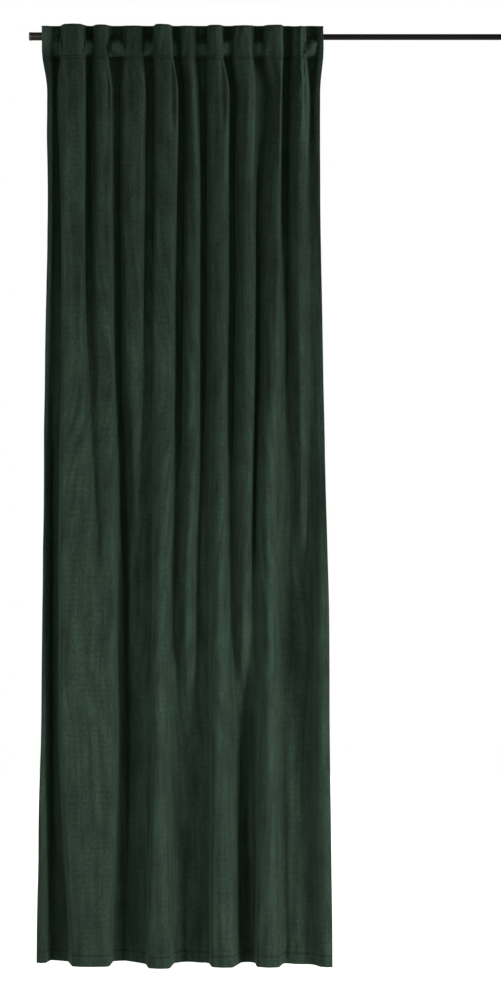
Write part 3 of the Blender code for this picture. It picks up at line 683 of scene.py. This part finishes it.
def cloth_row(z, kinds, counts):
    """One row of the cloth: its middle points, its normals towards the back and its flat distances."""
    points, shares = section(z)
    columns = column_shares(shares, kinds, counts)
    places = np.linspace(0.0, 1.0, len(points))
    points[:, 1] -= bulge(z, places, shares)
    middle = read_line(points, places, columns)
    along = read_line(np.gradient(points[:, :2], axis=0), places, columns)
    along /= np.linalg.norm(along, axis=1)[:, None]
    sag = middle[:, 3] * smooth_step(z, SAG_FOOT, TOP_RISE)
    middle[:, 2] = z - middle[:, 2] * at_height(z, HANG_SHARE) - sag
    normals = np.column_stack([-along[:, 1], along[:, 0], np.zeros(len(along))])
    return middle[:, :3], normals, columns * CUT_WIDTH


def cloth_grid(heights):
    """Middle points, normals and flat distances across and down the cloth, by row and column."""
    kinds, counts = span_counts()
    rows = [cloth_row(z, kinds, counts) for z in heights]
    middle, normals, across = (np.array(grid) for grid in zip(*rows))
    down = np.repeat((TOP_RISE - np.array(heights))[:, None], across.shape[1], axis=1)
    middle[..., 0] += wander(across, down)
    backward = normals[..., 1]
    x = (middle[..., 0] - rod_left - CLOTH_START) * 1000
    lift = crease_lift(x, -middle[..., 2] * 1000, np.clip(backward, 0.0, 1.0) ** 2)
    lift += pucker_lift(across, down) + soft_lift(across, down, np.abs(backward))
    lift *= 1 - held_by_straps(middle[..., 0], TOP_RISE - down)
    return middle - normals * lift[..., None], normals, across, down


def closed_faces(height, width):
    """Faces of a closed sheet between two grids of points: those of the front, the back and the rim."""
    count = height * width
    index = np.arange(count).reshape(height, width)
    quads = np.stack([index[:-1, :-1], index[1:, :-1], index[1:, 1:], index[:-1, 1:]], axis=-1)
    quads = quads.reshape(-1, 4)
    rim = np.concatenate([index[0, :], index[1:, -1], index[-1, -2::-1], index[-2:0:-1, 0]])
    following = np.roll(rim, -1)
    edge = np.stack([rim, following, following + count, rim + count], axis=-1)
    return quads, quads[:, ::-1] + count, edge


def closed_sheet(name, front, back, across, down, finishes, slots=None):
    """A closed sheet between two grids of points, with its flat sizes as its UV map."""
    sides = closed_faces(*front.shape[:2])
    faces = np.vstack(sides)
    mesh = bpy.data.meshes.new(name)
    mesh.from_pydata(np.vstack([front.reshape(-1, 3), back.reshape(-1, 3)]).tolist(), [], faces.tolist())
    flat = np.tile(np.column_stack([across.ravel(), down.ravel()]), (2, 1))
    loops = np.empty(len(mesh.loops), dtype=np.int32)
    mesh.loops.foreach_get("vertex_index", loops)
    layer = mesh.uv_layers.new(name="flat_cloth")
    layer.data.foreach_set("uv", flat[loops].astype(np.float32).ravel())
    for finish in finishes:
        mesh.materials.append(finish)
    if slots is not None:
        mesh.polygons.foreach_set("material_index", slots(flat, faces, len(sides[0])))
    mesh.shade_smooth()
    mesh.set_sharp_from_angle(angle=math.radians(50.0))
    mesh.update()
    return add_piece(name, mesh)


def hem_slots(flat, faces, side_count):
    """The pile shows on the front, on the edges and on the turned hems, and its backing elsewhere."""
    slots = np.zeros(len(faces), dtype=np.int32)
    centres = flat[faces[side_count:2 * side_count]].mean(axis=1)
    side = np.minimum(centres[:, 0], CUT_WIDTH - centres[:, 0])
    slots[side_count:2 * side_count] = (side > SIDE_HEM) & (DROP - centres[:, 1] > HEM_HEIGHT)
    return slots


def row_at(down, below):
    """The mesh's row nearest to a distance below the top edge."""
    return int(np.abs(down[:, 0] - below).argmin())


def hem_relief(side, down):
    """Share of the cloth's thickness left at its edges, and the depth of its grooves and turned hems."""
    edge = np.minimum(side, np.minimum(down, DROP - down))
    rounding = np.sqrt(np.clip(1 - (1 - np.clip(edge / EDGE_ROUNDING, 0, 1)) ** 2, 0.04, 1))
    groove = bump(side - SIDE_STITCH, GROOVE_WIDTH)
    for below in STITCHED_ROWS:
        groove = np.maximum(groove, bump(down - below, GROOVE_WIDTH))
    turned_up = 1 - smooth_step(DROP - down, HEM_HEIGHT - HEM_RAMP, HEM_HEIGHT)
    turned_in = 1 - smooth_step(side, SIDE_HEM - HEM_RAMP, SIDE_HEM)
    return rounding, GROOVE_DEPTH * groove, HEM_DEPTH * np.maximum(turned_up, turned_in)


def build_cloth(velvet, backing):
    """The curtain with its creases, turned hems and stitched rows, and the lines its stitches follow."""
    middle, normals, across, down = cloth_grid(row_heights())
    side = np.minimum(across, CUT_WIDTH - across)
    rounding, groove, hem = hem_relief(side, down)
    half = CLOTH_THICKNESS / 2 * rounding
    front = middle - normals * (half - groove)[..., None]
    back = middle + normals * (half + hem * rounding)[..., None]
    curtain = closed_sheet("velvet_curtain", front, back, across, down, [velvet, backing], hem_slots)
    rows = [row_at(down, below) for below in STITCHED_ROWS]
    column = SIDE_COLUMNS.index(SIDE_STITCH)
    heading_lines = [front[row] for row in rows[:3]]
    hem_lines = []
    for face in (front, back):
        hem_lines += [face[rows[3]], face[:, column], face[:, -1 - column]]
    return curtain, heading_lines, hem_lines


def build_tape(webbing):
    """The woven tape behind the heading, and the lines of stitches along its back."""
    top, foot = TOP_RISE - TAPE_DROP, TOP_RISE - TAPE_DROP - TAPE_HEIGHT
    heights = [top, *(z for z in row_heights() if foot + ROW_GAP < z < top - ROW_GAP), foot]
    kept = slice(len(SIDE_COLUMNS) - 1, 1 - len(SIDE_COLUMNS))
    middle, normals, across, down = (grid[:, kept] for grid in cloth_grid(heights))
    pockets = sum(bump(down - TAPE_DROP - pocket, POCKET_WIDTH) for pocket in CORD_POCKETS)
    near = CLOTH_THICKNESS / 2 + TAPE_GAP
    far = near + TAPE_THICKNESS + POCKET_RISE * pockets + uneven(across, down, TAPE_GATHERS)
    front = middle + normals * near
    back = middle + normals * far[..., None]
    tape = closed_sheet("woven_heading_tape", front, back, across, down, [webbing])
    rows = [row_at(down, below) for below in (TAPE_TOP_STITCH, *TAPE_STITCHES)]
    return tape, [back[row] + normals[row] * THREAD_LIFT for row in rows]


# Straps

def strap_path():
    """Middle line of a strap in the YZ plane: down the tape, over the rod and back to the tape."""
    at_tape = STRAP_THICKNESS / 2 + FIT - ROD_RADIUS - TAPE_CLEARANCE
    radius = ROD_RADIUS + FIT + STRAP_EASE + STRAP_THICKNESS / 2
    turn = (at_tape + STRAP_BEND, STRAP_TURN)
    back = (at_tape + STRAP_BEND * 0.6, STRAP_RETURN + STRAP_BEND)
    over = math.atan2(turn[1], turn[0]) - math.acos(radius / math.hypot(*turn))
    under = math.atan2(back[1], back[0]) + math.acos(radius / math.hypot(*back))
    path = [(at_tape, STRAP_TOP), (at_tape, STRAP_TURN + STRAP_BEND), turn]
    angles = np.linspace(over, under, STRAP_TURN_POINTS)
    path += [(radius * math.cos(angle), radius * math.sin(angle)) for angle in angles]
    path += [back, (at_tape, STRAP_RETURN - STRAP_BEND), (at_tape, STRAP_END)]
    path = np.array(path)
    along = distances_along(path)
    places = np.linspace(0.0, along[-1], STRAP_ROWS)
    return read_line(path, along, places), places


def build_strap(number, centre, webbing):
    """One strap, the lines of stitches across both of its ends, and its length."""
    path, places = strap_path()
    tangents = np.gradient(path, axis=0)
    tangents /= np.linalg.norm(tangents, axis=1)[:, None]
    inward = np.column_stack([tangents[:, 1], -tangents[:, 0]])
    offsets = STRAP_COLUMNS * STRAP_WIDTH / 2
    sides = []
    for half in (STRAP_THICKNESS / 2 * STRAP_EDGES, -STRAP_THICKNESS / 2 * STRAP_EDGES):
        y, z = (path[:, axis, None] + inward[:, axis, None] * half for axis in (0, 1))
        sides.append(np.stack([np.broadcast_to(centre + offsets, y.shape), y, z], axis=-1))
    across = np.broadcast_to(offsets + STRAP_WIDTH / 2, sides[0].shape[:2])
    down = np.broadcast_to(places[:, None], across.shape)
    strap = closed_sheet(f"back_strap_{number:02d}", *sides, across, down, [webbing])
    length = places[-1]
    stitched = [*STRAP_STITCHES, *(length - place for place in STRAP_FOOT_STITCHES)]
    return strap, [sides[1][row_at(down, place)] for place in stitched], length


# Rod

def turned(name, profile, place, finish):
    """A solid turned about a line along X from a closed profile of (x, radius) points."""
    vertices, rings = [], []
    for x, radius in profile:
        count = 1 if radius == 0.0 else ROD_SIDES
        rings.append([len(vertices) + side % count for side in range(ROD_SIDES)])
        for side in range(count):
            angle = 2 * math.pi * side / ROD_SIDES
            vertices.append((place[0] + x, radius * math.sin(angle), place[1] + radius * math.cos(angle)))
    faces = []
    for ring, following in zip(rings, rings[1:] + rings[:1]):
        for side in range(ROD_SIDES):
            after = (side + 1) % ROD_SIDES
            corners = list(dict.fromkeys([ring[side], ring[after], following[after], following[side]]))
            if len(corners) > 2:
                faces.append(corners)
    mesh = bpy.data.meshes.new(name)
    mesh.from_pydata(vertices, [], faces)
    mesh.materials.append(finish)
    mesh.shade_smooth()
    mesh.set_sharp_from_angle(angle=math.radians(35.0))
    return add_piece(name, mesh)


def rounded(corners, radius, steps=4):
    """The corners of a closed profile, those off the axis each replaced by a short arc."""
    profile = []
    for i, corner in enumerate(corners):
        here = np.array(corner)
        before, after = np.array(corners[i - 1]), np.array(corners[(i + 1) % len(corners)])
        if corner[1] == 0.0:
            profile.append(tuple(here))
            continue
        first = here + (before - here) * min(0.4, radius / np.linalg.norm(before - here))
        last = here + (after - here) * min(0.4, radius / np.linalg.norm(after - here))
        for t in np.linspace(0.0, 1.0, steps):
            profile.append(tuple((1 - t) ** 2 * first + 2 * t * (1 - t) * here + t * t * last))
    return profile


def build_tube(node, name, wall, finish):
    """An open tube on its solid."""
    low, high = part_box(node)
    outside, length = (high.z - low.z) / 2, high.x - low.x
    inside = outside - wall
    profile = rounded([(0.0, outside), (0.0, inside), (length, inside), (length, outside)], TUBE_ROUNDING)
    tube = turned(name, profile, (low.x, (low.z + high.z) / 2), finish)
    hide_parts(node)
    return tube


def build_plug(node, name, tube_node, wall, direction, finish):
    """A flanged plug with a ring in its end face. Direction is 1 at the right end, -1 at the left."""
    low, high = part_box(node)
    tube_low, tube_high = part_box(tube_node)
    flange, spigot = (high.z - low.z) / 2, (tube_high.z - tube_low.z) / 2 - wall - FIT
    neck = (high.x - tube_high.x if direction > 0 else tube_low.x - low.x) - FIT
    tip, edge = high.x - low.x, PLUG_ROUNDING
    profile = [(-PLUG_RING, 0.0), (-PLUG_RING, flange * 0.62), (0.0, flange * 0.66), (0.0, flange - edge),
               (-edge / 4, flange - edge / 3), (-edge, flange), (-neck + edge / 3, flange),
               (-neck, flange - edge / 3), (-neck, spigot), (-tip + edge, spigot),
               (-tip, spigot - edge * 2 / 3), (-tip, 0.0)]
    end = high.x if direction > 0 else low.x
    if direction < 0:
        profile = [(-x, radius) for x, radius in reversed(profile)]
    plug = turned(name, profile, (end, (low.z + high.z) / 2), finish)
    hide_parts(node)
    return plug


# Nodes and stitches

def add_node(tree, kind, inputs=None, **settings):
    """A new node with its settings, and its inputs by label or number: values or other nodes' outputs."""
    node = tree.nodes.new(kind)
    for label, value in settings.items():
        setattr(node, label, value)
    for label, value in (inputs or {}).items():
        if isinstance(value, bpy.types.NodeSocket):
            tree.links.new(value, node.inputs[label])
        else:
            node.inputs[label].default_value = value
    return node


def stitch_tree(thread):
    """Geometry nodes that lay round stitches along the lines of a mesh."""
    tree = bpy.data.node_groups.new("stitches", "GeometryNodeTree")
    tree.interface.new_socket("Geometry", in_out="INPUT", socket_type="NodeSocketGeometry")
    for label in STITCH_SIZES:
        tree.interface.new_socket(label, in_out="INPUT", socket_type="NodeSocketFloat")
    tree.interface.new_socket("Geometry", in_out="OUTPUT", socket_type="NodeSocketGeometry")
    given = tree.nodes.new("NodeGroupInput").outputs
    thickness = given["Thread Radius"]
    half = add_node(tree, "ShaderNodeMath", {0: given["Stitch Length"], 1: 0.5}, operation="MULTIPLY")
    size = add_node(tree, "ShaderNodeCombineXYZ", {"X": thickness, "Y": thickness, "Z": half.outputs[0]})
    ball = add_node(tree, "GeometryNodeMeshUVSphere", {"Segments": 6, "Rings": 4, "Radius": 1.0})
    stitch = add_node(tree, "GeometryNodeTransform",
                      {"Geometry": ball.outputs["Mesh"], "Scale": size.outputs[0]})
    line = add_node(tree, "GeometryNodeMeshToCurve", {"Mesh": given["Geometry"]})
    places = add_node(tree, "GeometryNodeResampleCurve",
                      {"Curve": line.outputs["Curve"], "Length": given["Pitch"]}, mode="LENGTH")
    way = add_node(tree, "GeometryNodeInputTangent")
    turn = add_node(tree, "FunctionNodeAlignRotationToVector", {"Vector": way.outputs["Tangent"]}, axis="Z")
    laid = add_node(tree, "GeometryNodeInstanceOnPoints",
                    {"Points": places.outputs["Curve"], "Instance": stitch.outputs["Geometry"],
                     "Rotation": turn.outputs["Rotation"]})
    real = add_node(tree, "GeometryNodeRealizeInstances", {"Geometry": laid.outputs["Instances"]})
    paint = add_node(tree, "GeometryNodeSetMaterial",
                     {"Geometry": real.outputs["Geometry"], "Material": thread})
    add_node(tree, "NodeGroupOutput", {"Geometry": paint.outputs["Geometry"]})
    return tree


def build_stitches(name, lines, tree):
    """The stitches along some lines of points, as one plain mesh."""
    edges, start = [], 0
    for line in lines:
        edges += [(start + i, start + i + 1) for i in range(len(line) - 1)]
        start += len(line)
    mesh = bpy.data.meshes.new(name + "_lines")
    mesh.from_pydata(np.vstack(lines).tolist(), edges, [])
    guide = add_piece(name + "_lines", mesh)
    modifier = guide.modifiers.new("stitches", "NODES")
    modifier.node_group = tree
    for item in tree.interface.items_tree:
        if item.in_out == "INPUT" and item.name in STITCH_SIZES:
            modifier[item.identifier] = STITCH_SIZES[item.name]
    bpy.context.view_layer.update()
    evaluated = guide.evaluated_get(bpy.context.evaluated_depsgraph_get())
    plain = bpy.data.meshes.new_from_object(evaluated)
    plain.name = name
    bpy.data.objects.remove(guide, do_unlink=True)
    bpy.data.meshes.remove(mesh)
    plain.shade_smooth()
    return add_piece(name, plain)


# Materials

def principled(name):
    """A new material, its node tree and its Principled shader."""
    finish = bpy.data.materials.new(name)
    finish.use_nodes = True
    return finish, finish.node_tree, finish.node_tree.nodes["Principled BSDF"]


def set_inputs(shader, values):
    """Set a shader's inputs by their labels."""
    for label, value in values.items():
        shader.inputs[label].default_value = value


def flat_place(tree, scale=(1.0, 1.0)):
    """The cloth's flat coordinates in metres, times a scale across and a scale down."""
    flat = add_node(tree, "ShaderNodeUVMap", uv_map="flat_cloth")
    mapping = add_node(tree, "ShaderNodeMapping", {"Vector": flat.outputs["UV"], "Scale": (*scale, 1.0)})
    return mapping.outputs["Vector"]


def cloud(tree, place, detail, scale=1.0):
    """Soft noise, mostly from .3 to .7."""
    noise = add_node(tree, "ShaderNodeTexNoise", {"Scale": scale, "Detail": detail, "Vector": place})
    return noise.outputs["Fac"]


def ranged(tree, value, source, target):
    """A value taken from one range to another and kept inside it."""
    labels = ("From Min", "From Max", "To Min", "To Max")
    node = add_node(tree, "ShaderNodeMapRange", {"Value": value, **dict(zip(labels, (*source, *target)))})
    return node.outputs["Result"]


def cloth_cloud(tree, scale, target, detail=3.0):
    """Soft noise over the flat cloth, with so many patches a metre across and down, in a target range."""
    return ranged(tree, cloud(tree, flat_place(tree, scale), detail), (0.3, 0.7), target)


def combined(tree, first, second, operation="MULTIPLY"):
    """Two values joined by an operation."""
    return add_node(tree, "ShaderNodeMath", {0: first, 1: second}, operation=operation).outputs[0]


def ribs(tree, pitch, direction="Y"):
    """Parallel ribs of a weave, this far apart down the cloth, or across it for "X", from 0 to 1."""
    inputs = {"Scale": WAVE_LENGTH / pitch, "Distortion": 0.6, "Detail Scale": 1.5,
              "Vector": flat_place(tree)}
    return add_node(tree, "ShaderNodeTexWave", inputs, bands_direction=direction).outputs["Fac"]


def woven(tree, pitches):
    """Ribs down the cloth crossed with ribs across it."""
    return combined(tree, ribs(tree, pitches[0]), ribs(tree, pitches[1], "X"))


def tinted(tree, value, dark, light, shader):
    """Colour a shader between two colours, by a value from 0 to 1."""
    ramp = add_node(tree, "ShaderNodeValToRGB", {"Fac": value})
    for element, colour in zip(ramp.color_ramp.elements, (dark, light)):
        element.color = (*colour, 1.0)
    tree.links.new(ramp.outputs["Color"], shader.inputs["Base Color"])


def bumped(tree, height, distance, shader):
    """Relief of this height, in metres, on a shader."""
    node = add_node(tree, "ShaderNodeBump", {"Strength": 1.0, "Distance": distance, "Height": height})
    tree.links.new(node.outputs["Normal"], shader.inputs["Normal"])


def shade_painted_on_rows(tree, rows, width, darkest):
    """Painted shade along these stitched rows across the cloth: 1 away from them, and down to darkest on
    them.
    """
    split = add_node(tree, "ShaderNodeSeparateXYZ", {"Vector": flat_place(tree)})
    clear = None
    for below in rows:
        offset = combined(tree, split.outputs["Y"], below, "SUBTRACT")
        distance = add_node(tree, "ShaderNodeMath", {0: offset}, operation="ABSOLUTE").outputs[0]
        factor = ranged(tree, distance, (PAINTED_ROW_SHADE_CORE, width), (darkest, 1.0))
        clear = factor if clear is None else combined(tree, clear, factor)
    return clear


def velvet_material():
    """Short green pile, uneven in patches and in streaks down the cloth, over a fine knit, with painted shade
    along its stitched rows.
    """
    finish, tree, shader = principled("green_velvet_pile")
    streaks = cloth_cloud(tree, (70.0, 4.0), (0.72, 1.28))
    patches = cloth_cloud(tree, (30.0, 12.0), (0.77, 1.23))
    crushed = cloth_cloud(tree, (170.0, 100.0), (0.78, 1.22))
    pile = cloth_cloud(tree, (1500.0, 1100.0), (0.75, 1.25), detail=2.0)
    weave = ranged(tree, ribs(tree, VELVET_RIBS), (0.0, 1.0), (0.95, 1.05))
    # painted shade along the stitched rows, for the grooves the stitches pull into the pile
    row_groove_shade = shade_painted_on_rows(tree, STITCHED_ROWS, PAINTED_ROW_SHADE_WIDTH, PAINTED_ROW_SHADE)
    shade = 0.5
    for factor in (streaks, patches, crushed, pile, weave, row_groove_shade):
        shade = combined(tree, factor, shade)
    tinted(tree, shade, PILE_DARK, PILE_LIGHT, shader)
    relief = combined(tree, combined(tree, pile, 0.25), combined(tree, patches, 1.6), "ADD")
    bumped(tree, combined(tree, relief, crushed, "ADD"), 0.0007, shader)
    tree.links.new(ranged(tree, crushed, (0.78, 1.22), (0.96, 0.86)), shader.inputs["Roughness"])
    set_inputs(shader, {"Specular IOR Level": 0.08, "Sheen Weight": 0.04, "Sheen Roughness": 0.45,
                        "Sheen Tint": (0.52, 1.0, 0.74, 1.0)})
    return finish


def backing_material():
    """The flat knitted back of the velvet."""
    finish, tree, shader = principled("velvet_backing")
    knit = woven(tree, BACKING_RIBS)
    shade = combined(tree, combined(tree, knit, 0.4, "ADD"), cloth_cloud(tree, (30.0, 14.0), (0.35, 0.9)))
    tinted(tree, shade, (0.016, 0.029, 0.021), (0.040, 0.068, 0.051), shader)
    bumped(tree, knit, 0.00025, shader)
    set_inputs(shader, {"Roughness": 0.85, "Specular IOR Level": 0.25})
    return finish


def webbing_material():
    """Off-white woven webbing."""
    finish, tree, shader = principled("woven_webbing")
    weave = woven(tree, WEBBING_RIBS)
    shade = combined(tree, combined(tree, weave, 0.35), cloth_cloud(tree, (90.0, 60.0), (0.45, 0.75)), "ADD")
    tinted(tree, shade, (0.42, 0.42, 0.38), (0.74, 0.74, 0.69), shader)
    bumped(tree, weave, 0.0003, shader)
    set_inputs(shader, {"Roughness": 0.82, "Specular IOR Level": 0.3})
    return finish


def noisy_material(name, dark, light, scale, roughness, relief, shine):
    """A material with fine even noise in its colour, roughness and relief, in the piece's own coordinates."""
    finish, tree, shader = principled(name)
    place = add_node(tree, "ShaderNodeTexCoord").outputs["Object"]
    grain = cloud(tree, place, 4.0, scale)
    tinted(tree, ranged(tree, grain, (0.3, 0.7), (0.0, 1.0)), dark, light, shader)
    broad = cloud(tree, place, 3.0, scale / 40)
    tree.links.new(ranged(tree, broad, (0.3, 0.7), roughness), shader.inputs["Roughness"])
    bumped(tree, grain, relief, shader)
    set_inputs(shader, {"Specular IOR Level": shine})
    return finish


def thread_material(name, dark, light):
    """Sewing thread."""
    return noisy_material(name, dark, light, 3000.0, (0.5, 0.7), 0.00008, 0.30)


# Stage

def add_spotlight(name, place, target, radius, power, cone):
    """A soft round spotlight that faces its target and fades out towards the edge of its cone."""
    lamp = bpy.data.lights.new(name, "SPOT")
    lamp.shadow_soft_size = radius
    lamp.energy = power
    lamp.spot_size = math.radians(cone)
    lamp.spot_blend = 1.0
    light = add_piece(name, lamp)
    light.location = place
    light.rotation_euler = (Vector(target) - Vector(place)).to_track_quat("-Z", "Y").to_euler()
    light.visible_camera = False


def add_stage_face(name, corners, finish):
    """One flat face of the stage."""
    mesh = bpy.data.meshes.new(name)
    mesh.from_pydata(corners, [], [list(range(len(corners)))])
    mesh.materials.append(finish)
    return add_piece(name, mesh)


def stage_paint(name, shade, glow=0.0):
    """Matt grey paint that may glow a little."""
    finish, _, shader = principled(name)
    set_inputs(shader, {"Base Color": (shade, shade, shade, 1.0), "Roughness": 0.9,
                        "Emission Color": (1.0, 1.0, 1.0, 1.0), "Emission Strength": glow})
    return finish


def add_floor():
    """A round pale floor under the curtain."""
    level = cloth_low.z - FLOOR_GAP
    angles = [2 * math.pi * i / FLOOR_SIDES for i in range(FLOOR_SIDES)]
    ring = [(FLOOR_RADIUS * math.cos(angle), FLOOR_RADIUS * math.sin(angle), level) for angle in angles]
    floor = add_stage_face("pale_floor", ring, stage_paint("floor_paint", 0.92, glow=0.4))


def add_board():
    """A black board over the curtain, which the camera doesn't see, that shades the heading from above."""
    width, depth = BOARD_SIZE[0] / 2, BOARD_SIZE[1] / 2
    corners = [(-width, -depth, 0.0), (width, -depth, 0.0), (width, depth, 0.0), (-width, depth, 0.0)]
    board = add_stage_face("top_board", corners, stage_paint("board_paint", 0.004))
    board.location = BOARD_PLACE
    board.visible_camera = False


def build_stage():
    """White surroundings, a pale floor, a board over the curtain and soft lights."""
    scene = bpy.context.scene
    scene.view_settings.view_transform = "Standard"
    scene.view_settings.look = "None"
    scene.world = bpy.data.worlds.new("white_studio")
    scene.world.use_nodes = True
    set_inputs(scene.world.node_tree.nodes["Background"], {"Color": (1.0, 1.0, 1.0, 1.0), "Strength": 1.0})
    add_floor()
    add_board()
    for name, values in SPOTLIGHTS.items():
        add_spotlight(name, *values)


def add_camera():
    """A level camera half way down the curtain, a little left of the rod's middle."""
    lens = bpy.data.cameras.new("camera")
    lens.lens = CAMERA_LENS
    lens.sensor_width = 36.0
    lens.clip_end = 200.0
    camera = add_piece("camera", lens)
    camera.location = CAMERA_PLACE
    camera.rotation_euler = (math.pi / 2, 0.0, 0.0)
    bpy.context.scene.camera = camera


build_stage()
add_camera()
webbing = webbing_material()
thread = thread_material("green_thread", (0.010, 0.020, 0.013), (0.022, 0.042, 0.028))
white_thread = thread_material("white_thread", (0.50, 0.50, 0.46), (0.72, 0.72, 0.68))
steel = noisy_material("black_powder_coat", (0.0042, 0.0038, 0.0036), (0.0068, 0.0063, 0.0059), 1400.0,
                       (0.38, 0.46), 0.00004, 0.04)
plastic = noisy_material("black_moulded_plastic", (0.0060, 0.0056, 0.0052), (0.0110, 0.0104, 0.0098), 900.0,
                         (0.40, 0.52), 0.00005, 0.14)

curtain, heading_lines, hem_lines = build_cloth(velvet_material(), backing_material())
tape, tape_lines = build_tape(webbing)
stitches, white_stitches = stitch_tree(thread), stitch_tree(white_thread)
heading_seams = build_stitches("heading_stitches", heading_lines, stitches)
hem_seams = build_stitches("hem_stitches", hem_lines, stitches)
tape_seams = build_stitches("tape_stitches", tape_lines, stitches)
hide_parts("curtain_panel")
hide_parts("heading_tape")

loops = []
for number, centre in enumerate(recess_centres(), start=1):
    strap, strap_lines, strap_length = build_strap(number, centre, webbing)
    tacks = build_stitches(f"strap_stitches_{number:02d}", strap_lines, white_stitches)
    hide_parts(f"back_loop_{number:02d}")
    loops += [strap, tacks]

tubes = [build_tube("rod_outer_tube", "thick_rod_tube", OUTER_WALL, steel),
         build_tube("rod_inner_tube", "thin_rod_tube", INNER_WALL, steel)]
plugs = [build_plug("rod_plug_left", "left_end_plug", "rod_outer_tube", OUTER_WALL, -1, plastic),
         build_plug("rod_plug_right", "right_end_plug", "rod_inner_tube", INNER_WALL, 1, plastic)]

for piece in (curtain, tape, heading_seams, hem_seams, tape_seams, *loops, *tubes, *plugs):
    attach(piece, "root")
